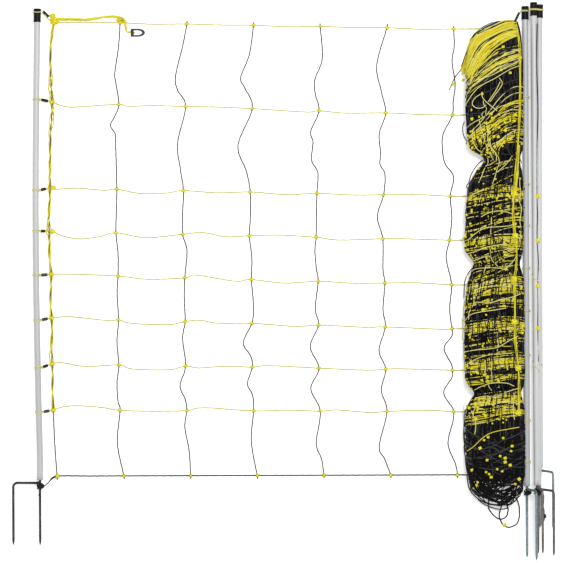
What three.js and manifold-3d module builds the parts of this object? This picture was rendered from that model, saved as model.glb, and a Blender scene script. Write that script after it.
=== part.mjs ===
// Electric sheep netting, lying flat on a level floor: one mesh bay spread out between a tubular
// post and the rest of the net, which is gathered into a hank beside its four other posts.
// X runs along the net, Y up the net and Z up from the floor. All sizes are in millimetres.
import * as THREE from "three";
import { mergeVertices } from "three/addons/utils/BufferGeometryUtils.js";
import Module from "manifold-3d";

const wasm = await Module();
wasm.setup();

// Driving dimensions of the net
const columnCount = 7;
const meshWidth = 160;
const rowHeights = [0, 155, 260, 365, 470, 575, 680, 880, 1080];
const liveWireDiameter = 2.4;
const baseCordDiameter = 3;
const uprightDiameter = 2.6;
const knotSize = { length: 12, width: 9, height: 6 };
const endKnotSize = { length: 16, width: 12, height: 8 };
const uprightTrim = 3;
const netEnd = (columnCount - 1) * meshWidth;
const clearance = 0.3;

// How the laid net has drifted: each row's shift along X and its fall from the first upright to the last
const rowShifts = [14, 5, 2, 1, 0, -5, -3, 2, 5];
const rowFalls = [-3, 4, 15, 26, 25, 21, 20, 31, 18];
// Waves of each upright in each mesh, from the base row up: how far up the mesh, and how far to the right
const uprightWaves = [
  [[[0.5, -1]], [[0.5, 0]], [[0.5, 0]], [[0.5, -2]], [[0.5, -2]], [[0.5, -1]], [[0.5, -2]], [[0.5, -6]]],
  [
    [[0.5, -11]],
    [[0.2, -4.5], [0.62, -5.5]],
    [[0.5, -4]],
    [[0.6, -2.5]],
    [[0.5, 2.5]],
    [[0.5, 0]],
    [[0.5, -5], [0.65, -7], [0.75, -19], [0.87, -8]],
    [[0.25, -7.5], [0.38, -11], [0.7, -3]],
  ],
  [
    [[0.38, 0], [0.75, -7]],
    [[0.25, -3], [0.56, -14.5]],
    [[0.62, -6.5]],
    [[0.5, -1.5]],
    [[0.62, 8.5]],
    [[0.5, -1]],
    [[0.25, -8.5], [0.56, -17]],
    [[0.2, -20], [0.37, -25], [0.75, -8.5]],
  ],
  [
    [[0.52, -9.5]],
    [[0.35, -1], [0.62, -12.5]],
    [[0.25, -3.5], [0.56, -21]],
    [[0.37, 4.5]],
    [[0.5, 3.5]],
    [[0.4, 1.5]],
    [[0.25, -10.5], [0.56, -32]],
    [[0.25, -19], [0.37, -29], [0.65, -9]],
  ],
  [
    [[0.25, -3.5], [0.5, -14]],
    [[0.52, -21]],
    [[0.5, -20.5]],
    [[0.37, -7.5]],
    [[0.3, -3], [0.7, -4.2]],
    [[0.5, 0]],
    [[0.25, 1], [0.4, -14.5], [0.62, -12.5], [0.75, -18.5]],
    [[0.2, -9.5], [0.37, -11], [0.62, 6]],
  ],
  [
    [[0.25, -12], [0.45, -23.5]],
    [[0.5, -12]],
    [[0.44, -15.5]],
    [[0.4, -5]],
    [[0.3, -3]],
    [[0.5, -14]],
    [[0.25, 2], [0.37, -10.5], [0.5, -9.5], [0.75, -14]],
    [[0.25, -11], [0.56, -23]],
  ],
  [
    [[0.17, -3], [0.49, -18], [0.85, -3]],
    [[0.1, -3], [0.46, -22.5], [0.82, -2]],
    [[0.14, -2], [0.53, -19.5], [0.83, 0]],
    [[0.45, -5]],
    [[0.45, -8], [0.7, -9]],
    [[0.53, 4.5]],
    [[0.24, 6.5], [0.41, -15.5], [0.63, -22.5], [0.78, -20]],
    [[0.16, 1.5], [0.36, 5.5], [0.62, -2.5], [0.8, 2]],
  ],
];
// Waves of each live row in each mesh, from the first upright: how far along, and how far up
const rowWaves = [
  [],
  [
    [[0.15, 8], [0.4, 10.5], [0.75, 6]],
    [[0.5, -2]],
    [[0.12, 5], [0.35, 6.5]],
    [[0.5, 2]],
    [[0.25, 3], [0.75, -3]],
    [[0.6, 3]],
  ],
  [
    [[0.15, 3.5], [0.5, -4.5]],
    [[0.2, -9], [0.75, -9.5]],
    [[0.2, -4], [0.6, 1]],
    [[0.25, 4]],
    [[0.7, -3]],
    [[0.2, 1.5]],
  ],
  [
    [[0.3, 4], [0.85, -3]],
    [[0.2, -8], [0.75, -8.5]],
    [[0.22, 4], [0.5, -2]],
    [[0.65, -4.5]],
    [[0.7, -2]],
    [[0.85, -2]],
  ],
  [
    [[0.3, 1.5]],
    [[0.45, -6]],
    [[0.17, 7], [0.75, -5]],
    [[0.5, -6.5]],
    [[0.5, -2.5]],
    [[0.45, 2.5]],
  ],
  [
    [[0.2, -10], [0.45, -16.5], [0.75, -10]],
    [[0.45, -10]],
    [[0.3, 5], [0.65, -3.5]],
    [[0.45, 3]],
    [[0.35, -5.5]],
    [[0.2, 1]],
  ],
  [
    [[0.12, -3], [0.4, 0.5], [0.8, -3]],
    [[0.35, -9], [0.75, -6.5]],
    [[0.5, -3.5]],
    [[0.55, -4.5]],
    [[0.55, -2]],
    [[0.5, 2]],
  ],
  [
    [[0.15, -8], [0.3, -10.5], [0.6, -6]],
    [[0.15, -4], [0.5, -0.5]],
    [[0.5, 1]],
    [[0.8, -4]],
    [[0.4, -3.5]],
    [[0.5, -1]],
  ],
  [
    [[0.5, -0.5]],
    [[0.5, -2]],
    [[0.5, -1]],
    [[0.5, -2]],
    [[0.5, -1]],
    [[0.5, -2]],
  ],
];

// Driving dimensions of a post
const tubeDiameter = 15;
const spikeDiameter = 6;
const spikeInsert = 60;
const capWall = 1;
const capLength = 32;
const capCrown = 12;
const capSlot = { width: 3.6, depth: 6 };
const prongSpacing = 65;
const barDrop = 7;
const barBend = 10;
const prongPoint = 10;

// Tie from the post to each row
const sleeveWidth = 7;
const sleeveHeight = 5.4;

// Wire wound round the first upright, which joins the live rows
const windingPitch = 40;

// Lead and its connector clip
const leadDiameter = 7;
const clip = { length: 34, width: 19, thickness: 6, rim: 3, bar: 4 };
const tongue = { length: 8, width: 4, thickness: 3 };

// Cords that hang from the hank, and the lashing round each spike
const looseCordDiameter = 3;
const lashingDiameter = 4;
const lashingTurns = 2;

// Faceting
const strandSides = 5;
const cordSides = 8;
const tubeSides = 12;
const rodSides = 8;

const liveWireRadius = liveWireDiameter / 2;
const uprightRadius = uprightDiameter / 2;
const tubeRadius = tubeDiameter / 2;
const spikeRadius = spikeDiameter / 2;
const capRadius = tubeRadius + clearance + capWall;
// A loop of wire runs round every post, and the post rests on it
const postLift = tubeRadius + clearance + liveWireDiameter;

const finish = (color, roughness, metalness = 0) =>
  new THREE.MeshStandardMaterial({ color, roughness, metalness });
const liveWire = finish("#c9bd22", 0.55);
const baseCord = finish("#1f2021", 0.6);
const greyCord = finish("#4a4c4e", 0.6);
const postWhite = finish("#e3e5e6", 0.35);
const blackPlastic = finish("#191a1c", 0.45);
const galvanised = finish("#8d9298", 0.4, 0.85);
const gathered = finish("#5f5c22", 0.8);

const object = new THREE.Group();

// Adds a finished piece under its name
function addPiece(name, geometry, material) {
  const mesh = new THREE.Mesh(geometry, material);
  mesh.name = name;
  object.add(mesh);
  return mesh;
}

// Solid of a closed geometry, for joining and cutting
function solidOf(geometry) {
  const bare = geometry.clone();
  bare.deleteAttribute("normal");
  bare.deleteAttribute("uv");
  const merged = mergeVertices(bare, 1e-4);
  return new wasm.Manifold(
    new wasm.Mesh({
      numProp: 3,
      vertProperties: Float32Array.from(merged.attributes.position.array),
      triVerts: Uint32Array.from(merged.index.array),
    }),
  );
}

// Geometry of a solid
function geometryOf(solid) {
  const mesh = solid.getMesh();
  const geometry = new THREE.BufferGeometry();
  geometry.setAttribute("position", new THREE.BufferAttribute(mesh.vertProperties, 3));
  geometry.setIndex(new THREE.BufferAttribute(mesh.triVerts, 1));
  geometry.computeVertexNormals();
  return geometry;
}

const joined = (geometries) =>
  geometries.map(solidOf).reduce((whole, part) => whole.add(part));

// A route through its own points, with a ring of the swept section at each of them
class Route extends THREE.Curve {
  constructor(points) {
    super();
    this.points = points;
  }
  getPoint(t) {
    const place = Math.min(Math.max(t, 0), 1) * (this.points.length - 1);
    const index = Math.min(Math.floor(place), this.points.length - 2);
    return this.points[index].clone().lerp(this.points[index + 1], place - index);
  }
  getPointAt(u) {
    return this.getPoint(u);
  }
  getTangentAt(u) {
    return this.getTangent(u);
  }
}

// Corners of a regular polygon; a fitting one has its flats at the radius
function ring(radius, sides, fitting = false) {
  const reach = fitting ? radius / Math.cos(Math.PI / sides) : radius;
  return Array.from({ length: sides }, (_, i) => {
    const angle = ((i + 0.5) * 2 * Math.PI) / sides;
    return new THREE.Vector2(reach * Math.cos(angle), reach * Math.sin(angle));
  });
}

// A bar of the given section swept through the points
function sweep(points, corners, hole) {
  const section = new THREE.Shape(corners);
  if (hole) section.holes.push(new THREE.Path(hole));
  return new THREE.ExtrudeGeometry(section, {
    steps: points.length - 1,
    bevelEnabled: false,
    extrudePath: new Route(points),
  });
}

// A smooth line through the points, with a step about as long as given
function smooth(points, step) {
  const curve = new THREE.CatmullRomCurve3(points, false, "centripetal");
  return curve.getSpacedPoints(Math.max(2, Math.round(curve.getLength() / step)));
}

const cord = (points, diameter, step = 2.5 * diameter) =>
  sweep(smooth(points, step), ring(diameter / 2, cordSides));

// Draws the last ring of a swept rod in to a blunt point
function sharpen(geometry, end) {
  const position = geometry.attributes.position;
  const corner = new THREE.Vector3();
  const bluntness = 0.15;
  for (let i = 0; i < position.count; i += 1) {
    corner.fromBufferAttribute(position, i);
    if (corner.distanceTo(end) > spikeDiameter) continue;
    corner.sub(end).multiplyScalar(bluntness).add(end);
    position.setXYZ(i, corner.x, corner.y, corner.z);
  }
  return geometry;
}

// Posts: where the axis runs, from foot to cap, and how its double spike is turned about it
const postTop = 1106;
const postFoot = -10;
const hankPostTop = 1112;
const firstPostLine = [
  [-26.5, postFoot],
  [-26.8, 60],
  [-30.5, 200],
  [-36, 500],
  [-36.5, 760],
  [-33, postTop],
];
const stackedPost = tubeDiameter + clearance;
const stackedCap = 2 * capRadius + clearance;
const secondLift = postLift + stackedCap;
const posts = [
  { name: "post_1", line: firstPostLine, lift: [postLift, postLift], prong: 150, turn: 185 },
  {
    name: "post_2",
    line: [[netEnd + 180, -25], [netEnd + 175.5, hankPostTop]],
    lift: [postLift, postLift],
    prong: 165,
    turn: 76,
  },
  {
    name: "post_3",
    line: [[netEnd + 211.5, 20], [netEnd + 208.5, hankPostTop - 20]],
    lift: [postLift, postLift],
    prong: 138,
    turn: 68,
  },
  {
    name: "post_4",
    line: [[netEnd + 205.5, -23], [netEnd + 208, hankPostTop + 2]],
    lift: [secondLift, secondLift],
    prong: 155,
    turn: 62,
  },
  {
    name: "post_5",
    line: [[netEnd + 200.5, -20], [netEnd + 193, hankPostTop + 6]],
    lift: [secondLift + 14.6, secondLift + 10.2],
    prong: 150,
    turn: 85,
  },
];

function postAxis(post) {
  const foot = post.line[0][1];
  const top = post.line[post.line.length - 1][1];
  return post.line.map(([x, y]) => {
    const share = (y - foot) / (top - foot);
    return new THREE.Vector3(x, y, THREE.MathUtils.lerp(post.lift[0], post.lift[1], share));
  });
}

// Place on a post's axis at a height up the net
function onPost(post, y) {
  const axis = postAxis(post);
  const next = Math.min(Math.max(1, axis.findIndex((point) => point.y >= y)), axis.length - 1);
  const [below, above] = [axis[next - 1], axis[next]];
  return below.clone().lerp(above, (y - below.y) / (above.y - below.y));
}

// Cap over the tube's end, with the slot for a wire across its crown
function makeCap(post) {
  const socket = tubeRadius + clearance;
  const profile = [
    [0, 0],
    [socket, 0],
    [socket, -(capLength - capCrown)],
    [capRadius, -(capLength - capCrown)],
    [capRadius, capCrown],
    [0, capCrown],
  ].map(([r, y]) => new THREE.Vector2(r, y));
  const body = solidOf(new THREE.LatheGeometry(profile, tubeSides));
  const slot = new THREE.BoxGeometry(4 * capRadius, 2 * capSlot.depth, capSlot.width);
  slot.translate(0, capCrown, 0);
  const geometry = geometryOf(body.subtract(solidOf(slot)));
  const axis = postAxis(post);
  const end = axis[axis.length - 1];
  const upward = end.clone().sub(axis[axis.length - 2]).normalize();
  const cap = addPiece(`${post.name}_cap`, geometry, blackPlastic);
  cap.quaternion.setFromUnitVectors(new THREE.Vector3(0, 1, 0), upward);
  cap.position.copy(end).addScaledVector(upward, clearance);
}

// Double spike: one rod in the tube's foot and, on a bar bent down at its end, a second prong
function makeSpike(post) {
  const barLevel = -barDrop;
  const tip = barLevel - post.prong;
  const straight = [spikeInsert, tip + prongPoint, tip].map((y) => new THREE.Vector3(0, y, 0));
  const rod = sharpen(sweep(straight, ring(spikeRadius, rodSides)), straight[2]);
  const bendSteps = 3;
  const side = [new THREE.Vector3(0, barLevel, 0)];
  for (let i = 0; i <= bendSteps; i += 1) {
    const angle = (i / bendSteps) * (Math.PI / 2);
    side.push(
      new THREE.Vector3(
        prongSpacing - barBend + barBend * Math.sin(angle),
        barLevel - barBend + barBend * Math.cos(angle),
        0,
      ),
    );
  }
  side.push(new THREE.Vector3(prongSpacing, tip + prongPoint, 0));
  side.push(new THREE.Vector3(prongSpacing, tip, 0));
  const prong = sharpen(sweep(side, ring(spikeRadius, rodSides)), side[side.length - 1]);
  const spike = addPiece(`${post.name}_spike`, geometryOf(joined([rod, prong])), galvanised);
  const axis = postAxis(post);
  const upward = axis[1].clone().sub(axis[0]).normalize();
  const turn = new THREE.Quaternion().setFromAxisAngle(
    new THREE.Vector3(0, 1, 0),
    -THREE.MathUtils.degToRad(post.turn),
  );
  spike.quaternion.setFromUnitVectors(new THREE.Vector3(0, 1, 0), upward).multiply(turn);
  spike.position.copy(axis[0]);
}

// Black cord lashed round the straight prong under the bar
function lashingPoints(post) {
  const reach = spikeRadius + clearance + lashingDiameter / 2;
  const stepsPerTurn = 8;
  const start = barDrop + spikeRadius + clearance + lashingDiameter / 2;
  const corner = reach / Math.cos(Math.PI / stepsPerTurn);
  const foot = postAxis(post)[0];
  const pitch = lashingDiameter + clearance;
  return Array.from({ length: lashingTurns * stepsPerTurn + 1 }, (_, i) => {
    const angle = (i / stepsPerTurn) * 2 * Math.PI;
    return new THREE.Vector3(
      foot.x + corner * Math.cos(angle),
      foot.y - start - (i / stepsPerTurn) * pitch,
      foot.z + corner * Math.sin(angle),
    );
  });
}

for (const post of posts) {
  const bore = ring(spikeRadius + clearance, rodSides, true);
  addPiece(`${post.name}_tube`, sweep(postAxis(post), ring(tubeRadius, tubeSides), bore), postWhite);
  makeCap(post);
  makeSpike(post);
}
for (const post of [posts[0], posts[1], posts[3], posts[4]]) {
  const coil = sweep(lashingPoints(post), ring(lashingDiameter / 2, rodSides - 2));
  addPiece(`${post.name}_lashing`, coil, baseCord);
}

// Hank: the gathered net's outer shape, pinched where it is tied. Each ring has its height up the
// net, its left edge past the last upright, how far its right edge is past the next post's flank,
// and its thickness.
const hankPress = 3.5;
const hankNip = -6;
const hankRings = [
  [-71, 92, -30, 34],
  [-54, 66, -14, 58],
  [-30, 43, 0, 74],
  [34, 32, hankPress, 84],
  [109, 30, hankPress, 86],
  [169, 33, hankPress, 76],
  [198, 56, hankNip, 58],
  [224, 31, hankPress, 76],
  [301, 28, hankPress, 86],
  [397, 28, hankPress, 86],
  [469, 36, hankPress, 76],
  [505, 56, hankNip, 58],
  [541, 28, hankPress, 76],
  [625, 31, hankPress, 84],
  [697, 38, hankPress, 74],
  [733, 60, 0, 62],
  [757, 86, hankNip, 52],
  [781, 38, hankPress, 74],
  [853, 31, hankPress, 86],
  [925, 33, hankPress, 84],
  [997, 36, hankPress, 74],
  [1050, 46, 0, 58],
  [1078, 86, -4, 44],
  [1092, 120, -12, 30],
];
const hankSides = 18;
const roundness = 2.6;

// Lobed solid of the hank, grown all round by the given amount
function hankShape(grow = 0) {
  const last = hankRings.length - 1;
  const geometry = new THREE.CylinderGeometry(1, 1, last, hankSides, last);
  const position = geometry.attributes.position;
  for (let i = 0; i < position.count; i += 1) {
    const index = Math.round(position.getY(i) + last / 2);
    const [y, start, past, thickness] = hankRings[index];
    const left = netEnd + start;
    const right = onPost(posts[1], y).x - tubeRadius + past;
    const bend = (value) => Math.sign(value) * Math.abs(value) ** (2 / roundness);
    const across = bend(position.getX(i)) * ((right - left) / 2 + grow);
    const up = bend(position.getZ(i)) * (thickness / 2 + grow);
    const ends = index === 0 ? -grow : index === last ? grow : 0;
    position.setXYZ(i, (left + right) / 2 + across, y + ends, thickness / 2 + up);
  }
  return geometry;
}

// The net hugs the post that lies against it
const postRoom = sweep(
  postAxis(posts[1]),
  ring(tubeRadius + clearance, tubeSides, true),
);
const hankSolid = solidOf(hankShape()).subtract(solidOf(postRoom));
addPiece("hank_core", geometryOf(hankSolid), gathered);
const hankRoom = solidOf(hankShape(clearance));

// Net: where each row crosses each upright
const windingReach = (uprightRadius + clearance + liveWireRadius) / Math.cos(Math.PI / 4);
const endColumnLift = windingReach + liveWireRadius + clearance;

function crossing(row, column) {
  const share = column / (columnCount - 1) - 0.5;
  return new THREE.Vector3(
    column * meshWidth + rowShifts[row],
    rowHeights[row] - rowFalls[row] * share,
    column === 0 ? endColumnLift : knotSize.height / 2,
  );
}

const topRow = rowHeights.length - 1;

// Points of an upright, from under the base row to over the top one
function uprightPoints(column) {
  const size = column === 0 ? endKnotSize : knotSize;
  const trim = new THREE.Vector3(0, size.width / 2 + uprightTrim, 0);
  const points = [crossing(0, column).sub(trim), crossing(0, column)];
  for (let row = 0; row < topRow; row += 1) {
    const [low, high] = [crossing(row, column), crossing(row + 1, column)];
    for (const [share, right] of uprightWaves[column][row]) {
      points.push(low.clone().lerp(high, share).add(new THREE.Vector3(right, 0, 0)));
    }
    points.push(high);
  }
  points.push(crossing(topRow, column).add(trim));
  return points;
}

// Where each row's wire goes round the first post; the top one lies in the cap's slot
const tieSlants = [0, -4, -8, -5, -2, 1, -6, 6];
const loopRadius = tubeRadius + clearance + liveWireRadius;
const wireTail = 3;

function ringPlace(row) {
  return onPost(posts[0], crossing(row, 0).y + tieSlants[row]);
}

// Points of a row's wire where it is made fast to the first post
function tiePoints(row) {
  if (row < topRow) return [ringPlace(row).add(new THREE.Vector3(loopRadius, 0, 0))];
  const [x, y] = firstPostLine[firstPostLine.length - 1];
  const slotFloor = y + clearance + capCrown - capSlot.depth;
  const level = slotFloor + capSlot.width / 2;
  return [-1, 1].map((side) => new THREE.Vector3(x + side * (capRadius + wireTail), level, postLift));
}

// Points of a live row, from the first post to inside the hank
function rowPoints(row) {
  const points = [...tiePoints(row), crossing(row, 0)];
  for (let column = 1; column < columnCount; column += 1) {
    const [start, end] = [crossing(row, column - 1), crossing(row, column)];
    for (const [share, up] of rowWaves[row][column - 1]) {
      points.push(start.clone().lerp(end, share).add(new THREE.Vector3(0, up, 0)));
    }
    points.push(end);
  }
  const end = crossing(row, columnCount - 1);
  points.push(new THREE.Vector3(hankEnd, end.y - rowFalls[row] / 12, end.z));
  return points;
}
const hankEnd = netEnd + 100;

// Knot at a crossing, as long as the row's wire is wound there
function knotAt(row, column) {
  const size = column === 0 ? endKnotSize : knotSize;
  const corners = [
    [-0.5, 0],
    [-0.28, 0.5],
    [0.28, 0.5],
    [0.5, 0],
    [0.28, -0.5],
    [-0.28, -0.5],
  ].map(([across, up]) => new THREE.Vector2(up * size.height, across * size.width));
  const place = crossing(row, column);
  const half = new THREE.Vector3(size.length / 2, 0, 0);
  return sweep([place.clone().sub(half), place.clone().add(half)], corners);
}

const uprights = Array.from({ length: columnCount }, (_, column) => uprightPoints(column));
const uprightRoom = uprights.map((points) =>
  solidOf(sweep(points, ring(uprightRadius + clearance, strandSides, true))),
);

for (let column = 0; column < columnCount; column += 1) {
  const strand = sweep(uprights[column], ring(uprightRadius, strandSides));
  addPiece(`upright_${column + 1}`, strand, greyCord);
}

for (let row = 0; row < rowHeights.length; row += 1) {
  const base = row === 0;
  const points = base ? basePoints() : rowPoints(row);
  const diameter = base ? baseCordDiameter : liveWireDiameter;
  const parts = [sweep(points, ring(diameter / 2, strandSides))];
  for (let column = 0; column < columnCount; column += 1) parts.push(knotAt(row, column));
  if (!base && row < topRow) {
    const loop = new THREE.TorusGeometry(loopRadius / Math.cos(Math.PI / 10), liveWireRadius, 4, 10);
    const place = ringPlace(row);
    loop.rotateX(Math.PI / 2);
    loop.translate(place.x, place.y, place.z);
    parts.push(loop);
  }
  let solid = joined(parts);
  for (const room of uprightRoom) solid = solid.subtract(room);
  solid = solid.subtract(hankRoom);
  addPiece(base ? "base_row" : `live_row_${row}`, geometryOf(solid), base ? baseCord : liveWire);
}

// Points of the base row, which is hitched to the lashing at the first post's foot
function basePoints() {
  const hitch = lashingPoints(posts[0])[0];
  const points = [
    hitch.clone().add(new THREE.Vector3(lashingDiameter / 2 + clearance + baseCordDiameter / 2, 0, 0)),
  ];
  for (let column = 0; column < columnCount; column += 1) {
    if (column > 0) points.push(crossing(0, column - 1).lerp(crossing(0, column), 0.5));
    points.push(crossing(0, column));
  }
  const end = crossing(0, columnCount - 1);
  points.push(new THREE.Vector3(hankEnd, end.y, end.z));
  return points;
}

// Oval sleeve with a bore for the wire, from one place to another
function sleeve(name, from, to, wireDiameter) {
  const oval = ring(1, rodSides).map(
    ({ x, y }) => new THREE.Vector2((x * sleeveHeight) / 2, (y * sleeveWidth) / 2),
  );
  const bore = ring(wireDiameter / 2 + clearance, strandSides + 1, true);
  return addPiece(name, sweep([from, to], oval, bore), blackPlastic);
}

for (let row = 1; row < rowHeights.length; row += 1) {
  const [from, to] = [tiePoints(row).pop(), crossing(row, 0)];
  const along = to.clone().sub(from).normalize();
  const start = from.clone().addScaledVector(along, liveWireDiameter + clearance);
  const slant = Math.hypot(along.y, along.z);
  const lead = (endKnotSize.length / 2 + clearance + (sleeveWidth / 2) * slant) / along.x;
  sleeve(`tie_sleeve_${row}`, start, to.clone().addScaledVector(along, -lead), liveWireDiameter);
}

// Wire wound down the first upright, and laid over the front of each knot on it
function windingPoints() {
  const overKnot = endKnotSize.height / 2 + clearance + liveWireRadius;
  const besideKnot = endKnotSize.width / 2 + clearance + liveWireDiameter;
  const stepsPerTurn = 4;
  const points = [];
  for (let row = topRow; row > 1; row -= 1) {
    const [high, low] = [crossing(row, 0), crossing(row - 1, 0)];
    const gap = high.y - low.y;
    const margin = besideKnot / gap;
    const steps = Math.max(1, Math.round(gap / windingPitch)) * stepsPerTurn;
    for (let i = 0; i <= steps; i += 1) {
      const share = THREE.MathUtils.lerp(margin, 1 - margin, i / steps);
      const place = high.clone().lerp(low, share);
      const [[bulgeShare, bulge]] = uprightWaves[0][row - 1];
      const up = 1 - share;
      place.x += bulge * Math.min(up / bulgeShare, (1 - up) / (1 - bulgeShare));
      const angle = Math.PI / 2 + (i / stepsPerTurn) * 2 * Math.PI;
      const reach = i === 0 || i === steps ? overKnot : windingReach;
      place.add(new THREE.Vector3(reach * Math.cos(angle), 0, reach * Math.sin(angle)));
      points.push(place);
    }
  }
  return points;
}
addPiece("winding_wire", sweep(windingPoints(), ring(liveWireRadius, 4)), liveWire);

// Lead from the net's top corner, and the clip at its end
const leadLift = leadDiameter / 2 + clearance;
const leadOverRow = knotSize.height / 2 + liveWireDiameter + leadDiameter / 2 + 4 * clearance;
const corner = crossing(topRow, 0);
const leadStart = corner.clone().add(
  new THREE.Vector3(
    endKnotSize.length / 2 + 2 * clearance,
    liveWireDiameter + leadDiameter / 2 + clearance,
    0,
  ),
);
const leadLine = [
  leadStart,
  new THREE.Vector3(25, 1094, leadStart.z),
  new THREE.Vector3(44, 1094, leadLift),
  new THREE.Vector3(88, 1094, leadLift),
  new THREE.Vector3(128, 1099, leadLift),
  new THREE.Vector3(156, 1101, leadLift),
  new THREE.Vector3(167, 1100, leadLift + 1),
  new THREE.Vector3(175, 1094, leadOverRow),
  new THREE.Vector3(178, 1086, leadOverRow),
  new THREE.Vector3(178, 1077, leadOverRow),
  new THREE.Vector3(178, 1068, leadLift + 1),
  new THREE.Vector3(182, 1062, leadLift),
  new THREE.Vector3(186, 1062, leadLift),
  new THREE.Vector3(190, 1062, leadLift),
];
addPiece("lead", cord(leadLine, leadDiameter, leadDiameter), liveWire);

// Clip: a flat ring pointed at its nose, with a bar at its back, laid on the floor past the lead
const clipBack = leadLine[leadLine.length - 1].x + 2 * clearance;
const clipLevel = leadLine[leadLine.length - 1].y;

function clipOutline(inset) {
  const half = clip.width / 2 - inset;
  const back = inset === 0 ? 0 : clip.bar;
  const shoulder = clip.length * 0.55;
  const nose = clip.length - inset * 1.6;
  const outline = new THREE.Shape();
  outline.moveTo(back, -half);
  outline.lineTo(shoulder, -half);
  outline.quadraticCurveTo(nose - inset, -half * 0.8, nose, 0);
  outline.quadraticCurveTo(nose - inset, half * 0.8, shoulder, half);
  outline.lineTo(back, half);
  outline.closePath();
  return outline;
}
const clipShape = clipOutline(0);
clipShape.holes.push(clipOutline(clip.rim));
const clipRing = addPiece(
  "clip_ring",
  new THREE.ExtrudeGeometry(clipShape, { depth: clip.thickness, bevelEnabled: false, curveSegments: 4 }),
  blackPlastic,
);
clipRing.position.set(clipBack, clipLevel, 0);
const tongueShape = new THREE.Shape(
  ring(1, rodSides).map(({ x, y }) => new THREE.Vector2((x * tongue.length) / 2, (y * tongue.width) / 2)),
);
const clipTongue = addPiece(
  "clip_tongue",
  new THREE.ExtrudeGeometry(tongueShape, { depth: tongue.thickness, bevelEnabled: false }),
  galvanised,
);
clipTongue.position.set(clipBack + clip.bar + clearance + tongue.length / 2, clipLevel, 0);

// Wire that ties the other posts' caps together, laid over each cap and held to the hank
const capWireLevel = hankPostTop;
const capWireReach = (capRadius + clearance + liveWireRadius) / Math.cos(Math.PI / 8);

function overCap(post, angles) {
  const { x, z } = onPost(post, capWireLevel);
  return angles.map((degrees) => {
    const angle = THREE.MathUtils.degToRad(degrees);
    const across = capWireReach * Math.cos(angle);
    const up = capWireReach * Math.sin(angle);
    return new THREE.Vector3(x + across, capWireLevel, z + up);
  });
}
const capWireLine = [
  new THREE.Vector3(netEnd + 140, 1070, 16),
  new THREE.Vector3(netEnd + 154, 1096, 14),
  ...overCap(posts[1], [180, 135, 90, 45]),
  ...overCap(posts[4], [180, 135, 90, 45]),
  ...overCap(posts[3], [90, 45, 0]),
];
const capWire = solidOf(sweep(capWireLine, ring(liveWireRadius, strandSides))).subtract(hankRoom);
addPiece("cap_wire", geometryOf(capWire), liveWire);

// Slack loops of the base cord under the hank, and the loose tail of the last post's lashing
const onFloor = looseCordDiameter / 2 + 3 * clearance;
const loopLines = [
  [
    [90, -40, 14],
    [88, -72, 8],
    [94, -88, onFloor],
    [112, -104, onFloor],
    [129, -101, onFloor],
    [136, -84, onFloor],
    [132, -70, 6],
    [128, -40, 14],
  ],
  [
    [118, -40, 22],
    [118, -72, 16],
    [114, -96, 2 * looseCordDiameter + onFloor],
    [124, -119, onFloor],
    [140, -124, onFloor],
    [158, -114, onFloor],
    [163, -90, onFloor],
    [158, -62, 12],
    [140, -40, 22],
  ],
];
loopLines.forEach((line, i) => {
  const points = line.map(([x, y, z]) => new THREE.Vector3(netEnd + x, y, z));
  const solid = solidOf(cord(points, looseCordDiameter)).subtract(hankRoom);
  addPiece(`slack_loop_${i + 1}`, geometryOf(solid), baseCord);
});

const tailRoot = lashingPoints(posts[3])[0];
const tailLine = [
  [tailRoot.x + lashingDiameter / 2 + clearance + looseCordDiameter / 2, tailRoot.y, tailRoot.z],
  [netEnd + 219, -50, 17],
  [netEnd + 220, -62, 5],
  [netEnd + 220, -74, onFloor],
  [netEnd + 222, -90, onFloor],
  [netEnd + 222, -104, onFloor],
  [netEnd + 218, -120, onFloor],
].map(([x, y, z]) => new THREE.Vector3(x, y, z));
addPiece("tail_cord", cord(tailLine, looseCordDiameter), baseCord);

// The origin is on the floor under the middle of the netting, without its free cords
const freeCords = ["lead", "clip_ring", "clip_tongue", "slack_loop_1", "slack_loop_2", "tail_cord"];
const extent = new THREE.Box3();
object.updateMatrixWorld(true);
for (const mesh of object.children) {
  if (!freeCords.includes(mesh.name)) extent.expandByObject(mesh, true);
}
const middle = extent.getCenter(new THREE.Vector3());
object.position.set(-middle.x, -middle.y, -extent.min.z);
object.updateMatrixWorld(true);
export default object;
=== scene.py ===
# Electric sheep netting laid flat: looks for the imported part.
import math

import bpy
import numpy as np
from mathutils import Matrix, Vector
from mathutils.bvhtree import BVHTree


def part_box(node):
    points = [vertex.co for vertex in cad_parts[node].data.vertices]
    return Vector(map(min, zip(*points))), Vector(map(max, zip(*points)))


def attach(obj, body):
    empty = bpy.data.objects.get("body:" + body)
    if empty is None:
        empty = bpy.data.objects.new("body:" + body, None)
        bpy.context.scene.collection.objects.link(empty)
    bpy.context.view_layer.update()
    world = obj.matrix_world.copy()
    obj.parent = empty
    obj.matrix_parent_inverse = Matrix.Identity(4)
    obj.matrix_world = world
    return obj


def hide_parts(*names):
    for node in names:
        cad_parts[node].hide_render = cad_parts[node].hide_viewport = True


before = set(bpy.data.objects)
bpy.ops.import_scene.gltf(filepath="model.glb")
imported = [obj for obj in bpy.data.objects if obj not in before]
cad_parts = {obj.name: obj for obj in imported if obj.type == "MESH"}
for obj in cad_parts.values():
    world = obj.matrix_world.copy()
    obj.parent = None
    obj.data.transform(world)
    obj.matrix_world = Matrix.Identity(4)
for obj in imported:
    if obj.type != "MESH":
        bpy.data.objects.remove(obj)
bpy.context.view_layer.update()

MM = 0.001

# The photograph's frame, and where the part's drawing lies in it
PHOTO_SIDE_PX = 563
PHOTO_SCALE = 2.4 * MM
PHOTO_CENTRE = np.array([-0.0006, -0.0016])
CAMERA_HEIGHT = 5.6
SENSOR = 36.0


def mm(*sizes):
    """Millimetres to a place or a set of sizes in metres."""
    return np.array(sizes) * MM


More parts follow.
